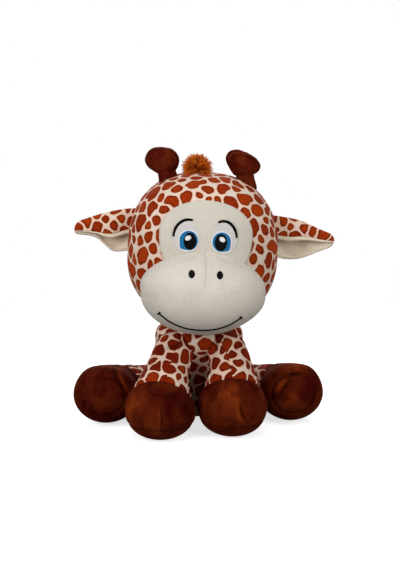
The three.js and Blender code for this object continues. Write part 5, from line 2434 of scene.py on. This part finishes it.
@dataclass
class Head:
    """The printed head with everything sewn to it; sizes in millimetres."""

    neck_room: float = 46.5
    fill: float = 1.5
    nostril_out: float = 18.7
    nostril_height: float = 37
    mouth_middle: float = -4.6
    mouth_reach: float = 54.8
    mouth_height: float = -19.4
    mouth_drop: float = 20
    mouth_half_width: float = 0.8
    tick_half_width: float = 1.15
    tick_reach: float = 2.6
    tuft_middle: float = -13.2
    tuft_on: float = 14

    def build(self) -> None:
        """Makes the head's pieces in order."""
        front = self.build_dome()
        muzzle = self.build_muzzle()
        self.build_patch(front)
        eyes = (
            Eye(Side.LEFT, front, (0.0, -2.0, -1.9, -2.5), (175, 68), 22.1, 18.2),
            Eye(Side.RIGHT, front, (2.2, 0.5, 0.0, 0.4), (180, 78), 23.4, 20.0),
        )
        for side, eye, ear, ossicone in zip(Side, eyes, EARS, OSSICONES):
            eye.build()
            self.build_nostril(muzzle, side)
            ear.build()
            ossicone.build()
        self.build_mouth(muzzle)
        self.build_tuft()

    def filled_ball(
        self, name: str, form: Form, rise: Array, cuts: int, held: Callable[[Array], Array]
    ) -> Object:
        """A ball-like form that is filled between its seams and then rounded.

        Args:
            name: The object's name.
            form: The form that the filling reaches.
            rise: The form's middle in the head's frame.
            cuts: How finely its mesh is cut before it is filled.
            held: Tells which of its points a seam holds.

        Returns:
            The new object.
        """
        directions, faces = ball_grid(cuts)
        points = form.grown(-self.fill).surface(directions) + rise
        obj = mesh_from(name, HEAD_PLACE.out(points), faces)
        Stuffing(2.0).fill(obj, held(points))
        return subdivided(obj, 2)

    def build_dome(self) -> Ground:
        """Makes the head itself, with its side seams and the room for the neck.

        Returns:
            Its surface before the seams press it.
        """
        obj = self.filled_ball(
            "head_cover", HEAD_FORM, HEAD_RISE, 32, lambda points: bump_at(points[:, 1], 3.0) > 0.5
        )
        points = HEAD_PLACE.into(points_of(obj))
        flat = np.linalg.norm(points[:, :2], axis=1)
        roof = np.sqrt(np.maximum(self.neck_room**2 - flat**2, 0))
        points[:, 2] = np.where((flat < self.neck_room) & (points[:, 2] < roof), roof, points[:, 2])
        groove = bump_at(points[:, 1], 2.0) * (points[:, 2] > 10)
        own = normals_of(obj)
        set_points(obj, HEAD_PLACE.out(points) - own * (groove * 1.2 * MM)[:, None])
        behind = points[:, 1] > 0
        SpotPrint(seed=2).lay(obj, behind.astype(int) + (behind & (points[:, 0] > 0)))
        finished(obj, "head", Slot.PRINT, ["head"])
        return Ground.over(obj, points, HEAD_FORM, HEAD_RISE)

    def build_muzzle(self) -> Ground:
        """Makes the cream muzzle, which sits against the head.

        Returns:
            Its surface.
        """
        def against_head(points: Array) -> Array:
            """Whether each point lies against the head."""
            return HEAD_FORM.level(points - HEAD_RISE) < 1.02

        obj = self.filled_ball("muzzle_cover", MUZZLE_FORM, MUZZLE_RISE, 24, against_head)
        points = HEAD_PLACE.into(points_of(obj))
        level = HEAD_FORM.grown(2.8).level(points - HEAD_RISE)
        inside = level < 1
        points[inside] = (points[inside] - HEAD_RISE) / level[inside, None] + HEAD_RISE
        over = points - MUZZLE_RISE
        front = (over[:, 1] < 0) * smooth_step(14, 24, over[:, 2])
        off = over[:, 0] - 1.5
        press = front * (0.9 * bump_at(off, 1.6) + 1.3 * bump_at(off - 6, 7) - 0.6 * bump_at(off + 6, 7))
        points[:, 2] += 3.6 * bump_at(over[:, 0], 30) * smooth_step(20, 56, over[:, 2])
        cheek = np.sin(math.pi * np.clip(over[:, 2] / 54, 0, 1)) * np.where(over[:, 0] < 0, 0.05, 0.022)
        points[:, 0] += over[:, 0] * cheek * (over[:, 1] < 20)
        set_points(obj, HEAD_PLACE.out(points))
        swell(obj, -press * MM)
        finished(obj, "head", Slot.CREAM, ["muzzle"])
        return Ground.over(obj, HEAD_PLACE.into(points_of(obj)), MUZZLE_FORM, MUZZLE_RISE)

    def build_patch(self, front: Ground) -> None:
        """Makes the cream panel over the front of the head.

        Args:
            front: The head's surface.
        """
        lifts = (0.4, 2.4)
        obj = front.disc("face_patch_cover", (0, 40), panel_edge, lifts, 2.4, 58, columns=160, rows=36)
        finished(obj, "head", Slot.CREAM, ["face_patch"], PATCH_FINISH)

    def build_nostril(self, muzzle: Ground, side: Side) -> None:
        """Makes one embroidered nostril.

        Args:
            muzzle: The muzzle's surface.
            side: The giraffe's side.
        """
        name = f"nostril_{side.word}"
        centre = (side.value * self.nostril_out, self.nostril_height)
        outline = oval(4.2, 4.9, side.value * 0.15)
        obj = muzzle.disc(f"{name}_stitched", centre, outline, (0.2, 1.0), 0.8, 4.5)
        finished(obj, "head", Slot.BLACK, [name])

    def mouth_at(self, share: Array) -> Array:
        """The smiling line's place at a share of its half span."""
        drop = self.mouth_drop * (1 - np.abs(share) ** 2.3)
        return np.column_stack([self.mouth_middle + self.mouth_reach * share, self.mouth_height - drop])

    def build_mouth(self, muzzle: Ground) -> None:
        """Makes the smiling line with a short tick at each end.

        Args:
            muzzle: The muzzle's surface.
        """
        path = self.mouth_at(np.linspace(-1, 1, 120))
        width = np.full(len(path), self.mouth_half_width)
        line = muzzle.line("mouth_line", path, width, (0.1, 1.0))
        parts = []
        for end in (-1.0, 1.0):
            here, near = self.mouth_at(np.array([end, end * 0.94]))
            across = np.array([here[1] - near[1], near[0] - here[0]])
            across *= self.tick_reach / np.linalg.norm(across)
            bar = here + np.linspace(-1, 1, 12)[:, None] * across
            parts.append(muzzle.line("mouth_tick", bar, np.full(len(bar), self.tick_half_width), (0.1, 1.25)))
        parts.append(muzzle.satin("mouth_satin", path, width, 0.95))
        line.name = "mouth_stitched"
        finished(joined(line, parts), "head", Slot.BLACK, ["mouth"])

    def build_tuft(self) -> None:
        """Makes the tuft of long pile between the horns."""
        directions, faces = ball_grid(10)
        crown = HEAD_FORM.upper * HEAD_FORM.left_at(self.tuft_on / HEAD_FORM.half_width)
        middle = np.array([self.tuft_middle, 0, HEAD_RISE[2] + crown + 6])
        core = mesh_from("tuft_core", HEAD_PLACE.out(directions * np.array([9, 8, 8.5]) + middle), faces)
        whorl = HEAD_PLACE.out(middle[None] + np.array([[1.5, -8.0, -2.0]]))[0]
        pile = Pile(
            count=760, length_mm=14.0, radius_mm=0.48, lean=(0.0, -0.15, 0.25), seed=4, curl=0.5, stray=0.5,
            threads=4, spread=0.075, fan=1.3, fan_from=tuple(whorl),
        )
        pile.grow(core, "hair_tuft_pile", "head", ["hair_tuft"])


# Studio


@dataclass(frozen=True)
class Lamp:
    """A soft box: its place and size in metres, and its power in watts."""

    name: str
    place: tuple[float, float, float]
    size: tuple[float, float]
    power: float

    def hang(self, aim: Vector) -> None:
        """Hangs the lamp so that it faces a point.

        Args:
            aim: The point, in metres.
        """
        data = bpy.data.lights.new(self.name, "AREA")
        data.shape = "RECTANGLE"
        data.size, data.size_y = self.size
        data.energy = self.power
        lamp = placed(self.name, data)
        lamp.location = self.place
        lamp.rotation_euler = (aim - Vector(self.place)).to_track_quat("-Z", "Y").to_euler()


@dataclass(frozen=True)
class Studio:
    """Camera, lamps, floor and backdrop."""

    aim_mm: tuple[float, float, float] = (1.45, -42.0, 200.8)
    distance_m: float = 1.607
    elevation_deg: float = 12.0
    lens_mm: float = 70.0
    sensor_mm: float = 36.0
    floor_m: float = 12.0
    floor_glow: float = 0.7
    fade_m: tuple[float, float] = (0.3, 0.75)
    world_light: float = 0.12
    lamp_aim: tuple[float, float, float] = (0, -0.08, 0.24)
    lamps: tuple[Lamp, ...] = (
        Lamp("left_box", (-1.35, -1.45, 1.0), (0.8, 1.3), 24.5),
        Lamp("right_box", (1.4, -1.45, 0.95), (0.8, 1.3), 17.5),
        Lamp("top", (0.0, -0.8, 2.2), (1.2, 1.2), 13.0),
        Lamp("back_box", (0.0, 1.9, 1.2), (1.8, 1.2), 26.0),
    )

    def build(self) -> None:
        """Sets up the whole studio."""
        self.build_camera()
        self.build_floor()
        for lamp in self.lamps:
            lamp.hang(Vector(self.lamp_aim))
        self.build_world()
        bpy.context.scene.view_settings.view_transform = "Standard"

    def build_camera(self) -> None:
        """Places the camera at the photograph's viewing angle."""
        data = bpy.data.cameras.new("camera")
        data.lens = self.lens_mm
        data.sensor_width = self.sensor_mm
        data.clip_end = 20
        camera = placed("camera", data)
        tilt = math.radians(self.elevation_deg)
        back = Vector((0, -math.cos(tilt), math.sin(tilt)))
        camera.location = Vector(self.aim_mm) * MM + back * self.distance_m
        camera.rotation_euler = (math.pi / 2 - tilt, 0, 0)
        bpy.context.scene.camera = camera

    def white_for_camera(self, canvas: Canvas, plain: NodeSocket, seen: NodeSocket) -> NodeSocket:
        """Shows one shader to the camera and to reflections, and another to all other light.

        Args:
            canvas: The material's canvas.
            plain: The shader for all other light.
            seen: The shader for the camera and reflections.

        Returns:
            The socket of both.
        """
        path = canvas.node("ShaderNodeLightPath").outputs
        looks = canvas.math("ADD", path["Is Camera Ray"], path["Is Glossy Ray"], clamp=True)
        looks = canvas.math("ADD", looks, path["Is Transmission Ray"], clamp=True)
        return canvas.node("ShaderNodeMixShader", {0: looks, 1: plain, 2: seen}).outputs[0]

    def build_floor(self) -> None:
        """Makes a wide pale floor that keeps the toy's shadow and fades to plain white further out."""
        bpy.ops.mesh.primitive_plane_add(size=self.floor_m, location=(0, 0, 0))
        floor = bpy.context.object
        floor.name = "floor"
        material = bpy.data.materials.new("floor_white")
        material.use_nodes = True
        canvas = Canvas(material.node_tree)
        coordinates = canvas.node("ShaderNodeTexCoord").outputs["Object"]
        length = canvas.node("ShaderNodeVectorMath", {0: coordinates}, operation="LENGTH").outputs["Value"]
        far = canvas.spread(length, *self.fade_m)
        dull, bright = (
            canvas.node("ShaderNodeBsdfDiffuse", {"Color": colour}).outputs[0]
            for colour in ((0.2, 0.19, 0.18, 1), (0.9, 0.9, 0.9, 1))
        )
        glow = canvas.node("ShaderNodeEmission", {"Strength": self.floor_glow}).outputs[0]
        white = canvas.node("ShaderNodeEmission").outputs[0]
        both = canvas.node("ShaderNodeAddShader", {0: bright, 1: glow}).outputs[0]
        near = canvas.node("ShaderNodeMixShader", {0: far, 1: both, 2: white}).outputs[0]
        canvas.node("ShaderNodeOutputMaterial", {0: self.white_for_camera(canvas, dull, near)})
        floor.data.materials.append(material)

    def build_world(self) -> None:
        """Makes a white surround for the camera and a softer one for the light."""
        world = bpy.data.worlds.new("surround")
        world.use_nodes = True
        bpy.context.scene.world = world
        canvas = Canvas(world.node_tree)
        plain = canvas.node("ShaderNodeBackground", {"Strength": self.world_light}).outputs[0]
        seen = canvas.node("ShaderNodeBackground", {"Color": (1, 1, 1, 1), "Strength": 1.0}).outputs[0]
        canvas.node("ShaderNodeOutputWorld", {0: self.white_for_camera(canvas, plain, seen)})


def main() -> None:
    """Builds the toy and its studio."""
    logging.basicConfig(level=logging.INFO, format="%(message)s")
    Studio().build()
    legs = Legs()
    legs.build()
    Torso(legs).build()
    Tail().build()
    Head().build()


if __name__ == "__main__":
    main()
